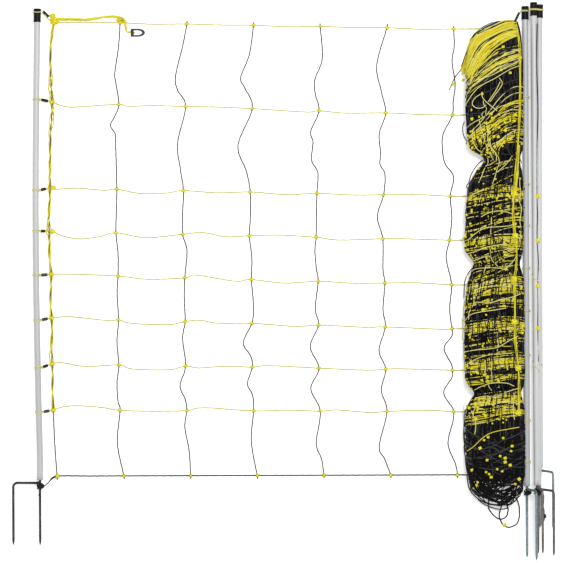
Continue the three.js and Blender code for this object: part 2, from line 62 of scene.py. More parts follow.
def at_px(x, y, z=0.0):
    """The place that the camera sees at a pixel of the photograph, z in metres above the floor."""
    side = PHOTO_SIDE_PX / 2
    scale = PHOTO_SCALE * (1 - z / CAMERA_HEIGHT)
    return np.array([PHOTO_CENTRE[0] + (x - side) * scale, PHOTO_CENTRE[1] + (side - y) * scale, z])


# Camera, looking straight down as the photograph does
def place_camera():
    data = bpy.data.cameras.new("camera")
    data.lens = SENSOR * CAMERA_HEIGHT / (PHOTO_SIDE_PX * PHOTO_SCALE)
    data.sensor_width = SENSOR
    data.clip_end = 30
    camera = bpy.data.objects.new("camera", data)
    camera.location = (PHOTO_CENTRE[0], PHOTO_CENTRE[1], CAMERA_HEIGHT)
    bpy.context.collection.objects.link(camera)
    bpy.context.scene.camera = camera


place_camera()
bpy.context.scene.view_settings.view_transform = "Standard"


# Materials
BUMP_DEPTH = 0.4 * MM
PLY_STRIPES = 6


def new_material(name, roughness=0.5, metallic=0.0, sheen=0.5):
    material = bpy.data.materials.new(name)
    material.use_nodes = True
    nodes = material.node_tree.nodes
    shader = nodes["Principled BSDF"]
    shader.inputs["Roughness"].default_value = roughness
    shader.inputs["Metallic"].default_value = metallic
    shader.inputs["Specular IOR Level"].default_value = sheen
    return material, nodes, material.node_tree.links, shader


def ramp(nodes, links, factor, stops):
    node = nodes.new("ShaderNodeValToRGB")
    elements = node.color_ramp.elements
    while len(elements) < len(stops):
        elements.new(0.5)
    for element, (place, color) in zip(elements, stops):
        element.position = place
        element.color = (*color, 1)
    links.new(factor, node.inputs["Fac"])
    return node.outputs["Color"]


def noise(nodes, links, scale, detail=4, stretch=None):
    texture = nodes.new("ShaderNodeTexNoise")
    texture.inputs["Scale"].default_value = scale
    texture.inputs["Detail"].default_value = detail
    place = nodes.new("ShaderNodeTexCoord")
    mapping = nodes.new("ShaderNodeMapping")
    if stretch:
        mapping.inputs["Scale"].default_value = stretch
    links.new(place.outputs["Object"], mapping.inputs["Vector"])
    links.new(mapping.outputs["Vector"], texture.inputs["Vector"])
    return texture.outputs["Fac"]


def bump(nodes, links, shader, height, strength, distance):
    node = nodes.new("ShaderNodeBump")
    node.inputs["Strength"].default_value = strength
    node.inputs["Distance"].default_value = distance
    links.new(height, node.inputs["Height"])
    links.new(node.outputs["Normal"], shader.inputs["Normal"])


def plastic(name, dark, light, roughness, grain=60, strength=0.15, stretch=None, sheen=0.5):
    material, nodes, links, shader = new_material(name, roughness, sheen=sheen)
    factor = noise(nodes, links, grain, 6, stretch)
    links.new(ramp(nodes, links, factor, [(0.3, dark), (0.7, light)]), shader.inputs["Base Color"])
    rough = nodes.new("ShaderNodeMapRange")
    rough.inputs["To Min"].default_value = roughness - 0.08
    rough.inputs["To Max"].default_value = roughness + 0.12
    links.new(factor, rough.inputs["Value"])
    links.new(rough.outputs["Result"], shader.inputs["Roughness"])
    bump(nodes, links, shader, factor, strength, BUMP_DEPTH)
    return material


def galvanised(name, dark, middle, light):
    material, nodes, links, shader = new_material(name, 0.5, 0.6)
    spangle = nodes.new("ShaderNodeTexVoronoi")
    spangle.inputs["Scale"].default_value = 260
    place = nodes.new("ShaderNodeTexCoord")
    links.new(place.outputs["Object"], spangle.inputs["Vector"])
    color = ramp(nodes, links, spangle.outputs["Color"], [(0.0, dark), (0.55, middle), (1.0, light)])
    links.new(color, shader.inputs["Base Color"])
    bump(nodes, links, shader, noise(nodes, links, 140, 5), 0.2, 0.0003)
    return material


def streaked_shadow(name):
    """Black of the hank's middle, darkened further as painted shade, with faint streaks along it."""
    material, nodes, links, shader = new_material(name, 0.9)
    streaks = noise(nodes, links, 220, 5, (1, 0.12, 1))
    stops = [(0.35, (0.001, 0.001, 0.001)), (0.8, (0.008, 0.007, 0.003))]
    links.new(ramp(nodes, links, streaks, stops), shader.inputs["Base Color"])
    return material


def worked_out(nodes, links, operation, first, second, third=None):
    """A sum of one input, a number and, if given, another input."""
    node = nodes.new("ShaderNodeMath")
    node.operation = operation
    node.inputs[1].default_value = second
    links.new(first, node.inputs[0])
    if third:
        links.new(third, node.inputs[2])
    return node.outputs["Value"]


def twisted(name, ply, gap, conductor=None, sheen=0.2):
    """Twisted strand: stripes run round it on its UV map, with painted shade in the gaps between its plies, a
    painted highlight on their crests and the odd bright conductor.
    """
    material, nodes, links, shader = new_material(name, 0.55, sheen=sheen)
    uv = nodes.new("ShaderNodeUVMap")
    split = nodes.new("ShaderNodeSeparateXYZ")
    links.new(uv.outputs["UV"], split.inputs["Vector"])
    slant = worked_out(nodes, links, "MULTIPLY_ADD", split.outputs["Y"], 1, split.outputs["X"])
    plies = worked_out(nodes, links, "MULTIPLY", slant, PLY_STRIPES)
    saw = worked_out(nodes, links, "PINGPONG", plies, 0.5)
    edge = worked_out(nodes, links, "MULTIPLY", saw, 2)
    mixed = worked_out(nodes, links, "MULTIPLY_ADD", noise(nodes, links, 22, 3), 0.5, edge)
    # Painted highlight: the crests of the plies are lighter than the ply colour.
    bright = tuple(min(1, 1.12 * c) for c in ply)
    # The gap colour is painted shade in the grooves between the plies.
    stops = [(0.15, gap), (0.45, ply), (1.0, bright)]
    if conductor:
        stops = [(0.15, gap), (0.45, ply), (1.2, bright), (1.34, conductor)]
        stops = [(place / 1.4, color) for place, color in stops]
    links.new(ramp(nodes, links, mixed, stops), shader.inputs["Base Color"])
    bump(nodes, links, shader, edge, 0.5, BUMP_DEPTH)
    return material


YELLOW = (0.60, 0.515, 0.008)
WHITE_TUBE = plastic("white_tube", (0.42, 0.425, 0.43), (0.53, 0.535, 0.54), 0.4, 14, 0.08, (1, 0.1, 1))
BLACK_CAP = plastic("black_cap", (0.003, 0.003, 0.003), (0.009, 0.009, 0.010), 0.45, 90, sheen=0.1)
BLACK_SLEEVE = plastic("black_sleeve", (0.003, 0.003, 0.004), (0.012, 0.012, 0.013), 0.4, 160, sheen=0.2)
CLIP_DARK = plastic("clip_dark", (0.008, 0.008, 0.009), (0.025, 0.025, 0.027), 0.4, 200, sheen=0.2)
ZINC = galvanised("galvanised_rod", (0.12, 0.16, 0.175), (0.18, 0.23, 0.25), (0.27, 0.32, 0.34))
WORN_STEEL = galvanised("worn_rod", (0.02, 0.017, 0.017), (0.04, 0.034, 0.034), (0.08, 0.072, 0.07))
GREY_STEEL = galvanised("grey_rod", (0.08, 0.068, 0.06), (0.13, 0.11, 0.10), (0.20, 0.18, 0.165))
# The second colour of each twisted strand is the painted shade between its plies.
LIVE = twisted("live_polywire", YELLOW, (0.24, 0.17, 0.002), (0.70, 0.62, 0.06), sheen=0.1)
LIVE_ROW = twisted("live_row_wire", (0.46, 0.43, 0.10), (0.24, 0.22, 0.05), sheen=0.1)
LIVE_PALE = twisted("pale_polywire", (0.64, 0.59, 0.15), (0.32, 0.28, 0.05), (0.80, 0.76, 0.36), sheen=0.1)
KNOT_YELLOW = plastic("knot_yellow", (0.56, 0.48, 0.008), (0.80, 0.74, 0.03), 0.5, 220, 0.4, sheen=0.25)
BLACK_CORD = twisted("black_cord", (0.010, 0.010, 0.011), (0.002, 0.002, 0.003))
GREY_CORD = twisted("grey_cord", (0.045, 0.046, 0.050), (0.012, 0.012, 0.013))
STRAND_BLACK = twisted("gathered_black", (0.004, 0.004, 0.005), (0.001, 0.001, 0.001), sheen=0.06)
# Grey copy of the gathered black: painted highlight, for strands that catch the light.
GREY_HIGHLIGHT_STRAND = twisted("gathered_highlight", (0.034, 0.033, 0.034), (0.006, 0.006, 0.006), sheen=0.2)
TONGUE_METAL = plastic("tongue_metal", (0.28, 0.28, 0.29), (0.4, 0.4, 0.42), 0.35, 120)
HANK_CORE = streaked_shadow("hank_core_shadow")


# Making pieces
def select_only(*pieces):
    """Selects these pieces alone, with the first of them active."""
    bpy.ops.object.select_all(action="DESELECT")
    for piece in pieces:
        piece.select_set(True)
    if pieces:
        bpy.context.view_layer.objects.active = pieces[0]


def apply_place(piece):
    select_only(piece)
    bpy.ops.object.transform_apply(location=True, rotation=True, scale=True)


def cut_out(piece, cutter):
    """Cuts another closed shape out of a piece, and removes the cutter."""
    cut = piece.modifiers.new("cut", "BOOLEAN")
    cut.object = cutter
    cut.solver = "EXACT"
    select_only(piece)
    bpy.ops.object.modifier_apply(modifier="cut")
    bpy.data.objects.remove(cutter)


def round_edges(piece, width, segments):
    edges = piece.modifiers.new("edges", "BEVEL")
    edges.width = width
    edges.segments = segments
    edges.limit_method = "ANGLE"
    select_only(piece)
    bpy.ops.object.modifier_apply(modifier="edges")


def shade(piece, degrees=40):
    select_only(piece)
    bpy.ops.object.shade_smooth_by_angle(angle=math.radians(degrees))


def linked_mesh(name, vertices, faces, smooth=True):
    mesh = bpy.data.meshes.new(name)
    mesh.from_pydata(vertices, [], faces)
    if smooth:
        mesh.polygons.foreach_set("use_smooth", [True] * len(mesh.polygons))
    piece = bpy.data.objects.new(name, mesh)
    bpy.context.collection.objects.link(piece)
    return piece


def mesh_piece(name, vertices, faces, material, uvs=None, node=None):
    piece = linked_mesh(name, vertices, faces)
    if uvs is not None:
        layer = piece.data.uv_layers.new(name="along")
        loops = np.array([index for face in faces for index in face])
        layer.data.foreach_set("uv", np.asarray(uvs)[loops].ravel())
    return finish_piece(piece, material, node)


def finish_piece(piece, material, node=None):
    piece.data.materials.clear()
    piece.data.materials.append(material)
    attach(piece, "root")
    if node:
        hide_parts(node)
    return piece


def run_along(line):
    """How far along a line each of its points lies."""
    return np.concatenate([[0], np.cumsum(np.linalg.norm(np.diff(line, axis=0), axis=1))])


def corners(name):
    """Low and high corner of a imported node's box."""
    return np.array(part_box(name))


def at_height(line, y):
    """The place on a line at a height up the net."""
    return np.array([np.interp(y, line[:, 1], line[:, k]) for k in range(3)])


def smooth_line(points, step):
    """Catmull-Rom line through the points, spaced about a step apart."""
    p = np.asarray(points, float)
    padded = np.vstack([2 * p[0] - p[1], p, 2 * p[-1] - p[-2]])
    out = []
    for a, b, c, d in zip(padded, padded[1:], padded[2:], padded[3:]):
        for t in np.linspace(0, 1, 12, endpoint=False):
            square, cube = (2 * a - 5 * b + 4 * c - d) * t**2, (3 * b - a - 3 * c + d) * t**3
            out.append(0.5 * (2 * b + (c - a) * t + square + cube))
    out.append(p[-1])
    return respaced(np.array(out), step)


def respaced(line, step):
    run = run_along(line)
    count = max(2, int(round(run[-1] / step)) + 1)
    at = np.linspace(0, run[-1], count)
    return np.stack([np.interp(at, run, line[:, k]) for k in range(3)], axis=1)


def ring_faces(count, sides):
    """Faces of a closed skin over rings of the same number of vertices."""
    faces = []
    for i in range(count - 1):
        for k in range(sides):
            a, b = i * sides + k, i * sides + (k + 1) % sides
            faces.append((a, b, b + sides, a + sides))
    faces.append(tuple(range(sides - 1, -1, -1)))
    faces.append(tuple((count - 1) * sides + k for k in range(sides)))
    return faces


def strand_rings(line, radius, sides, lobes=0, turn_length=0.02):
    """Vertices, faces and UVs of a strand along a line; lobes make its twisted plies."""
    tangents = np.gradient(line, axis=0)
    tangents /= np.maximum(np.linalg.norm(tangents, axis=1), 1e-12)[:, None]
    normal = np.cross(tangents[0], [0.31, 0.17, 0.93])
    if np.linalg.norm(normal) < 1e-6:
        normal = np.cross(tangents[0], [1, 0, 0])
    run = run_along(line)
    angles = np.arange(sides) * 2 * math.pi / sides
    vertices, uvs = [], []
    for point, tangent, s in zip(line, tangents, run):
        normal = normal - tangent * normal.dot(tangent)
        normal /= np.linalg.norm(normal)
        other = np.cross(tangent, normal)
        reach = radius * np.ones(sides)
        if lobes:
            phase = 2 * math.pi * s / turn_length
            reach = radius * (0.86 + 0.14 * np.cos(lobes * angles - phase))
        around = np.cos(angles)[:, None] * normal + np.sin(angles)[:, None] * other
        vertices.append(point + reach[:, None] * around)
        uvs.append(np.stack([angles / (2 * math.pi), np.full(sides, s / turn_length)], axis=1))
    return np.vstack(vertices), ring_faces(len(line), sides), np.vstack(uvs)


def strands(name, lines, radius, material, sides=6, lobes=0, node=None):
    """One piece of many strands."""
    all_vertices, all_faces, all_uvs, start = [], [], [], 0
    for line in lines:
        vertices, faces, uvs = strand_rings(line, radius, sides, lobes)
        all_vertices.append(vertices)
        all_uvs.append(uvs)
        all_faces += [tuple(i + start for i in face) for face in faces]
        start += len(vertices)
    return mesh_piece(name, np.vstack(all_vertices), all_faces, material, np.vstack(all_uvs), node)


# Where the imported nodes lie
def node_points(name):
    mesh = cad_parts[name].data
    points = np.empty(len(mesh.vertices) * 3)
    mesh.vertices.foreach_get("co", points)
    return points.reshape(-1, 3)


def group_middles(points, axis, gap):
    """Middles of the groups of points that lie further than a gap apart, in order along an axis."""
    points = points[np.argsort(points[:, axis])]
    cuts = np.where(np.diff(points[:, axis]) > gap)[0] + 1
    return [(g.min(axis=0) + g.max(axis=0)) / 2 for g in np.split(points, cuts)]


def ring_centres(name, axis, gap):
    """Middles of a swept node's rings, in order along an axis."""
    return np.array(group_middles(np.unique(np.round(node_points(name), 6), axis=0), axis, gap))


COLUMNS = 7
ROWS = 9
END_KNOT_REACH = 30 * MM
NEXT_COLUMN = 130 * MM
KNOT_GAP = 50 * MM
KNOT_TOP = {"end": 8.6 * MM, "other": 5.6 * MM}
uprights = [ring_centres(f"upright_{k + 1}", 1, 0.002) for k in range(COLUMNS)]
row_nodes = {0: "base_row", **{row: f"live_row_{row}" for row in range(1, ROWS)}}


def knot_middles(node):
    """Where a row crosses the uprights: the middles of its knots, from their flat tops."""
    points = node_points(node)
    first = uprights[0][:, 0].mean()
    near = np.abs(points[:, 0] - first) < END_KNOT_REACH
    end_knot = points[near & (points[:, 0] > first - 10 * MM) & (points[:, 2] > KNOT_TOP["end"])]
    others = points[(points[:, 0] > first + NEXT_COLUMN) & (points[:, 2] > KNOT_TOP["other"])]
    middles = [(end_knot.min(axis=0) + end_knot.max(axis=0)) / 2, *group_middles(others, 0, KNOT_GAP)]
    for column, middle in enumerate(middles):
        line = uprights[column]
        middle[2] = np.interp(middle[1], line[:, 1], line[:, 2])
    return middles


crossings = np.array([knot_middles(node) for node in row_nodes.values()])

# Floor and light
FLOOR_GLOW = 0.35
SKY = 0.5
LAMPS = (("key", (0.9, 1.3, 5.2), 1.6, 230), ("fill", (-2.4, -1.6, 3.2), 3.0, 25))


def set_stage():
    select_only()
    bpy.ops.mesh.primitive_plane_add(size=30, location=(0, 0, -0.0005))
    floor = bpy.context.object
    floor.name = "floor"
    material, nodes, links, shader = new_material("pale_floor", 0.9)
    shader.inputs["Base Color"].default_value = (0.95, 0.95, 0.95, 1)
    shader.inputs["Emission Color"].default_value = (1, 1, 1, 1)
    shader.inputs["Emission Strength"].default_value = FLOOR_GLOW
    floor.data.materials.append(material)
    world = bpy.data.worlds.new("studio")
    world.use_nodes = True
    world.node_tree.nodes["Background"].inputs["Color"].default_value = (1, 1, 1, 1)
    world.node_tree.nodes["Background"].inputs["Strength"].default_value = SKY
    bpy.context.scene.world = world
    for name, place, size, power in LAMPS:
        light = bpy.data.lights.new(name, "AREA")
        light.size = size
        light.energy = power
        lamp = bpy.data.objects.new(name, light)
        lamp.location = place
        lamp.rotation_euler = (Vector((0, 0, 0)) - Vector(place)).to_track_quat("-Z", "Y").to_euler()
        bpy.context.collection.objects.link(lamp)


set_stage()

# Posts: a smooth tube, a moulded cap and a bent double spike for each
POSTS = 5
TUBE_RADIUS = 7.5 * MM
ROD_RADIUS = 3.0 * MM
CAP_RADIUS = 8.8 * MM
# The cap's skirt lies between its outer levels and is drawn in between the inner two
CAP_LEVELS = (0.08, 0.16, 0.55, 0.62)
SKIRT_DRAW_IN = 0.965
SLOT_SIZE = (30 * MM, 3.6 * MM, 12 * MM)
PRONG_BEND = 10 * MM
ROD_SIDES = 20
# How far from a rod's tip its point starts and goes on, and how thick it is there
POINT_STEPS = (14, 10, 6, 3, 1)
POINT_SHARES = (1, 0.94, 0.72, 0.42, 0.2, 0.08)


def lay_along(piece, start, end):
    """Turns a piece modelled up +Z onto the line between two places."""
    way = Vector(end) - Vector(start)
    piece.rotation_mode = "QUATERNION"
    piece.rotation_quaternion = Vector((0, 0, 1)).rotation_difference(way)
    piece.location = start
    apply_place(piece)


def make_tube(post):
    """The tube along the middles of its packed rings, and the line it follows."""
    name = f"post_{post}_tube"
    axis = ring_centres(name, 1, 0.02)
    line = smooth_line(axis, 12 * MM)
    strands(f"{name}_skin", [line], TUBE_RADIUS, WHITE_TUBE, sides=40, node=name)
    return line


def make_cap(post, line):
    """Cap turned from a cylinder, with a rim, a drawn-in skirt and a slot across its crown."""
    name = f"post_{post}_cap"
    low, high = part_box(name)
    length = high[1] - low[1]
    select_only()
    bpy.ops.mesh.primitive_cylinder_add(
        vertices=48, radius=CAP_RADIUS, depth=length, location=(0, 0, length / 2)
    )
    cap = bpy.context.object
    cap.name = f"{name}_moulding"
    bpy.ops.object.transform_apply(location=True)
    bpy.ops.object.mode_set(mode="EDIT")
    bpy.ops.mesh.select_mode(type="FACE")
    bpy.ops.mesh.select_all(action="SELECT")
    for height in CAP_LEVELS:
        bpy.ops.mesh.bisect(plane_co=(0, 0, length * height), plane_no=(0, 0, 1))
        bpy.ops.mesh.select_all(action="SELECT")
    bpy.ops.object.mode_set(mode="OBJECT")
    for vertex in cap.data.vertices:
        share = vertex.co.z / length
        if 0.1 < share < 0.6:
            vertex.co.x *= SKIRT_DRAW_IN
            vertex.co.y *= SKIRT_DRAW_IN
    cut_out(cap, cap_slot(length))
    round_edges(cap, 0.7 * MM, 3)
    shade(cap, 35)
    upward = (line[-1] - line[-2]) / np.linalg.norm(line[-1] - line[-2])
    base = line[-1] + upward * (high[1] - line[-1][1] - length)
    lay_along(cap, base, base + upward)
    finish_piece(cap, BLACK_CAP, name)


def cap_slot(length):
    """Cutter of the slot across the crown, with rounded edges."""
    select_only()
    bpy.ops.mesh.primitive_cube_add(size=1, location=(0, 0, length))
    cutter = bpy.context.object
    cutter.scale = SLOT_SIZE
    bpy.ops.object.transform_apply(location=False, rotation=False, scale=True)
    bpy.ops.object.mode_set(mode="EDIT")
    bpy.ops.mesh.select_all(action="SELECT")
    bpy.ops.mesh.bevel(offset=1.2 * MM, segments=3)
    bpy.ops.object.mode_set(mode="OBJECT")
    return cutter


def sideways(points, place):
    """How far points lie to the side of a place, whatever their height up the net."""
    return np.linalg.norm((points - place)[:, [0, 2]], axis=1)


def make_spike(post):
    """Bent rod, with its prongs' hammered points and a weld where the bar meets the rod."""
    name = f"post_{post}_spike"
    points = node_points(name)
    straight = points[np.abs(points[:, 1] - points[:, 1].max()) < 2 * MM]
    top = (straight.min(axis=0) + straight.max(axis=0)) / 2
    tips = points[points[:, 1] < points[:, 1].min() + 1 * MM]
    near = tips[sideways(tips, top) < 20 * MM].mean(axis=0)
    far = tips[sideways(tips, top) > 40 * MM].mean(axis=0)
    side = far - near
    bar = points[sideways(points, far) > 9 * MM]
    bar_y = bar[sideways(bar, near) > 12 * MM][:, 1].mean()
    corner = near + (top - near) * (bar_y - near[1]) / (top[1] - near[1])
    down = (near - top) / np.linalg.norm(near - top)
    spacing = np.linalg.norm(side)
    out = side / spacing
    arc = [
        corner + out * (spacing - PRONG_BEND * (1 - math.sin(a))) + down * PRONG_BEND * (1 - math.cos(a))
        for a in np.linspace(0, math.pi / 2, 9)
    ]
    parts = [
        tapered_rod(f"{name}_rod", [top, near]),
        tapered_rod(f"{name}_prong", [corner, *arc, far]),
    ]
    select_only(*parts, weld_bead(corner, out))
    bpy.ops.object.join()
    spike = bpy.context.object
    spike.name = f"{name}_steel"
    finish_piece(spike, SPIKE_STEEL.get(post, ZINC), name)


def tapered_rod(name, points):
    """Rod along the points, drawn down to a point over its last stretch."""
    line = np.asarray(points, float)
    length = np.linalg.norm(line[-1] - line[-2])
    last = (line[-1] - line[-2]) / length
    taper = [line[-1] - last * step * MM for step in POINT_STEPS]
    line = np.vstack([line[:-1], taper, line[-1:]])
    shrink = np.ones(len(line))
    shrink[-len(POINT_SHARES) :] = POINT_SHARES
    vertices, faces, _ = strand_rings(line, ROD_RADIUS, ROD_SIDES)
    rings = vertices.reshape(len(line), ROD_SIDES, 3)
    rings = line[:, None] + (rings - line[:, None]) * shrink[:, None, None]
    return linked_mesh(name, rings.reshape(-1, 3), faces)


def weld_bead(place, out):
    """Ring of weld where a prong's bar leaves the rod."""
    select_only()
    bpy.ops.mesh.primitive_torus_add(
        major_radius=ROD_RADIUS * 1.02,
        minor_radius=0.9 * MM,
        major_segments=24,
        minor_segments=8,
    )
    bead = bpy.context.object
    bead.rotation_mode = "QUATERNION"
    bead.rotation_quaternion = Vector((0, 0, 1)).rotation_difference(Vector(out))
    bead.location = place + out * ROD_RADIUS * 0.9
    apply_place(bead)
    return bead


SPIKE_STEEL = {1: WORN_STEEL, 4: GREY_STEEL, 5: GREY_STEEL}
post_lines = {}
for post in range(1, POSTS + 1):
    post_lines[post] = make_tube(post)
    make_cap(post, post_lines[post])
    make_spike(post)


def on_post(post, y):
    """The middle of a post's tube at a height up the net."""
    return at_height(post_lines[post], y)


# Net: twisted rows and uprights, and a knot at every crossing
LIVE_RADIUS = 1.45 * MM
BASE_RADIUS = 1.75 * MM
UPRIGHT_RADIUS = 1.6 * MM
STRAND_STEP = 2.5 * MM
# How far from a knot the wire's own rings start, and the gap between two rings
PAST_KNOT = 9 * MM
RING_GAP = 4 * MM
# Where the base row starts beside its first knot, and how far each row runs on into the hank
BASE_ROW_START = (-18, -11, 2)
ROW_END = (62, 0, 6)


def upright_line(column):
    return smooth_line(uprights[column], STRAND_STEP)


def sleeve_ends(row):
    """Both ends of a tie's packed sleeve, the post's first."""
    ends = ring_centres(f"tie_sleeve_{row}", 0, 0.004)
    return ends[0], ends[-1]


def bends(row, column):
    """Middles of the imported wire's rings between one knot and the next."""
    points = node_points(row_nodes[row])
    start = crossings[row][column][0] + PAST_KNOT
    end = crossings[row][column + 1][0] - PAST_KNOT
    points = points[(points[:, 0] > start) & (points[:, 0] < end)]
    return group_middles(points, 0, RING_GAP) if len(points) else []


def row_line(row):
    """A row from its tie at the first post, through its bends and knots, to inside the hank."""
    points = []
    if row:
        points.append(sleeve_ends(row)[0])
    else:
        points.append(crossings[0][0] + mm(*BASE_ROW_START))
    for column in range(COLUMNS):
        points.append(crossings[row][column])
        if column < COLUMNS - 1:
            points += bends(row, column)
    points.append(crossings[row][-1] + mm(*ROW_END))
    return smooth_line(points, STRAND_STEP)


for row, node in row_nodes.items():
    strands(
        f"{node}_strand",
        [row_line(row)],
        LIVE_RADIUS if row else BASE_RADIUS,
        LIVE_ROW if row else BLACK_CORD,
        sides=9,
        lobes=3,
        node=node,
    )
for column in range(COLUMNS):
    strands(
        f"upright_{column + 1}_strand",
        [upright_line(column)],
        UPRIGHT_RADIUS,
        GREY_CORD,
        sides=9,
        lobes=3,
        node=f"upright_{column + 1}",
    )


def model_knot():
    """Moulded knot: a swollen middle, with the wire's two wraps crossing over it."""
    select_only()
    bpy.ops.mesh.primitive_ico_sphere_add(subdivisions=2, radius=1)
    middle = bpy.context.object
    middle.scale = (3.4 * MM, 3.0 * MM, 2.6 * MM)
    bpy.ops.object.transform_apply(scale=True)
    parts = [middle]
    for turn in (38, -38):
        bpy.ops.mesh.primitive_torus_add(
            major_radius=3.2 * MM, minor_radius=1.15 * MM, major_segments=16, minor_segments=6
        )
        wrap = bpy.context.object
        wrap.scale = (1.3, 0.8, 0.66)
        wrap.rotation_euler = (0, 0, math.radians(turn))
        bpy.ops.object.transform_apply(rotation=True, scale=True)
        parts.append(wrap)
    select_only(*parts)
    bpy.ops.object.join()
    return middle


knot_model = model_knot()
knot_vertices = np.array([v.co[:] for v in knot_model.data.vertices])
knot_faces = [tuple(p.vertices) for p in knot_model.data.polygons]
bpy.data.objects.remove(knot_model)


def knots(name, places, sizes, material=None, seed=0):
    """One piece of many knots, each turned a little its own way."""
    chance = np.random.default_rng(seed)
    vertices, faces = [], []
    for place, size in zip(places, sizes):
        turn = chance.uniform(-0.5, 0.5)
        c, s = math.cos(turn), math.sin(turn)
        spun = knot_vertices * size @ np.array([[c, s, 0], [-s, c, 0], [0, 0, 1]])
        start = len(vertices) * len(knot_vertices)
        vertices.append(spun + place)
        faces += [tuple(i + start for i in face) for face in knot_faces]
    return mesh_piece(name, np.vstack(vertices), faces, material or KNOT_YELLOW)


knots(
    "net_knots",
    crossings.reshape(-1, 3),
    [1.25 if i % COLUMNS == 0 else 1.0 for i in range(ROWS * COLUMNS)],
)


# The drawing's own axes, in mm, which the part's cords are drawn in
DRAWN_KNOT = np.array([14.0, -1.5])
drawn_origin = crossings[0][0][:2] - DRAWN_KNOT * MM
NET_END = 960


def drawn(x, y, z):
    """A place of the drawing, in metres in the shared frame."""
    return np.array([drawn_origin[0] + x * MM, drawn_origin[1] + y * MM, z * MM])


# Ties: a live wire round the first post at each row, crimped in a twin-bore sleeve
LOOP_REACH = TUBE_RADIUS + 1.35 * MM
SLEEVE_SIZE = (5.2 * MM, 7.0 * MM)
SLEEVE_EDGE = 1.5 * MM
BORE_RADIUS = 1.35 * MM
BORE_OFFSET = 1.7
# Where the sleeve is crimped along its length, and by how much it narrows and widens there
CRIMP_ENDS = (0.36, 0.64)
CRIMPED = (0.72, 1.06)


def post_loop(post, y, slant, gap=30):
    """Line of a wire round a post, starting and ending on its right-hand side."""
    centre = on_post(post, y)
    line = []
    for share in np.arange(41) / 40:
        angle = math.radians(gap / 2 + share * (360 - gap))
        drop = slant * (share - 0.5)
        line.append(centre + np.array([LOOP_REACH * math.cos(angle), drop, LOOP_REACH * math.sin(angle)]))
    return line


def make_sleeve(row):
    """Crimped oval sleeve with its two bores, modelled along Z and laid from the post to the net."""
    start, end = sleeve_ends(row)
    length = np.linalg.norm(end - start)
    select_only()
    bpy.ops.mesh.primitive_cube_add(size=1, location=(0, 0, length / 2))
    body = bpy.context.object
    body.name = f"tie_sleeve_{row}_crimp"
    body.scale = (*SLEEVE_SIZE, length)
    bpy.ops.object.transform_apply(location=True, rotation=False, scale=True)
    bpy.ops.object.mode_set(mode="EDIT")
    for share in CRIMP_ENDS:
        bpy.ops.mesh.select_all(action="SELECT")
        bpy.ops.mesh.bisect(plane_co=(0, 0, length * share), plane_no=(0, 0, 1))
    bpy.ops.object.mode_set(mode="OBJECT")
    for vertex in body.data.vertices:
        if 0.3 < vertex.co.z / length < 0.7:
            vertex.co.x *= CRIMPED[0]
            vertex.co.y *= CRIMPED[1]
    round_edges(body, SLEEVE_EDGE, 4)
    for side in (-BORE_OFFSET, BORE_OFFSET):
        bpy.ops.mesh.primitive_cylinder_add(
            vertices=14, radius=BORE_RADIUS, depth=length * 3, location=(0, side * MM, 0)
        )
        cut_out(body, bpy.context.object)
    shade(body)
    lay_along(body, start, end)
    finish_piece(body, BLACK_SLEEVE, f"tie_sleeve_{row}")
    return start, end


tie_lines = []
for row in range(1, ROWS):
    start, end = make_sleeve(row)
    if row < ROWS - 1:
        wire = node_points(f"live_row_{row}")
        y = wire[wire[:, 0] < on_post(1, start[1])[0] - 7 * MM][:, 1].mean()
        for step in (-0.9, 0.9):
            round_post = post_loop(1, y + step * MM, -2.6 * MM * step)
            mouth = start + np.array([1.5 * MM, 1.7 * MM, 0])
            tail = start + np.array([1.5 * MM, -1.7 * MM, 0])
            tie_lines.append(smooth_line([mouth, *round_post, tail], 1.2 * MM))
cap_low, cap_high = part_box("post_1_cap")
slot_level = cap_high[1] - 3.2 * MM
cap_middle = (cap_low[0] + cap_high[0]) / 2
top_start = sleeve_ends(ROWS - 1)[0]
post_height = on_post(1, slot_level)[2]
cap_loop = [
    top_start + np.array([2 * MM, 1.5 * MM, 0]),
    np.array([cap_high[0] + 2 * MM, slot_level + 1 * MM, post_height + 1 * MM]),
    np.array([cap_middle, slot_level, post_height + 0.5 * MM]),
    np.array([cap_low[0] - 1.5 * MM, slot_level - 1 * MM, post_height]),
    np.array([cap_low[0] + 2.5 * MM, slot_level - 5 * MM, post_height + 8.2 * MM]),
    np.array([cap_middle + 2 * MM, slot_level - 6 * MM, post_height + 10.0 * MM]),
    np.array([cap_high[0] - 1 * MM, slot_level - 5 * MM, post_height + 6 * MM]),
    top_start + np.array([2 * MM, -1.5 * MM, 0]),
]
tie_lines.append(smooth_line(cap_loop, 1.2 * MM))
strands("post_1_ties", tie_lines, 1.05 * MM, LIVE_PALE, sides=8, lobes=3)


# Wires wound down the first upright
first_upright = upright_line(0)
WINDING_PITCH = 105 * MM
WINDING_REACH = 2.7 * MM
WINDING_LIFT = 3.9 * MM
# Where the winding is slack: how far down in photograph pixels, over how many, and by how many mm
SLACK_STRETCHES = [(62, 12, 4.6), (96, 14, 4.0), (205, 10, 3.0), (330, 12, 3.4)]


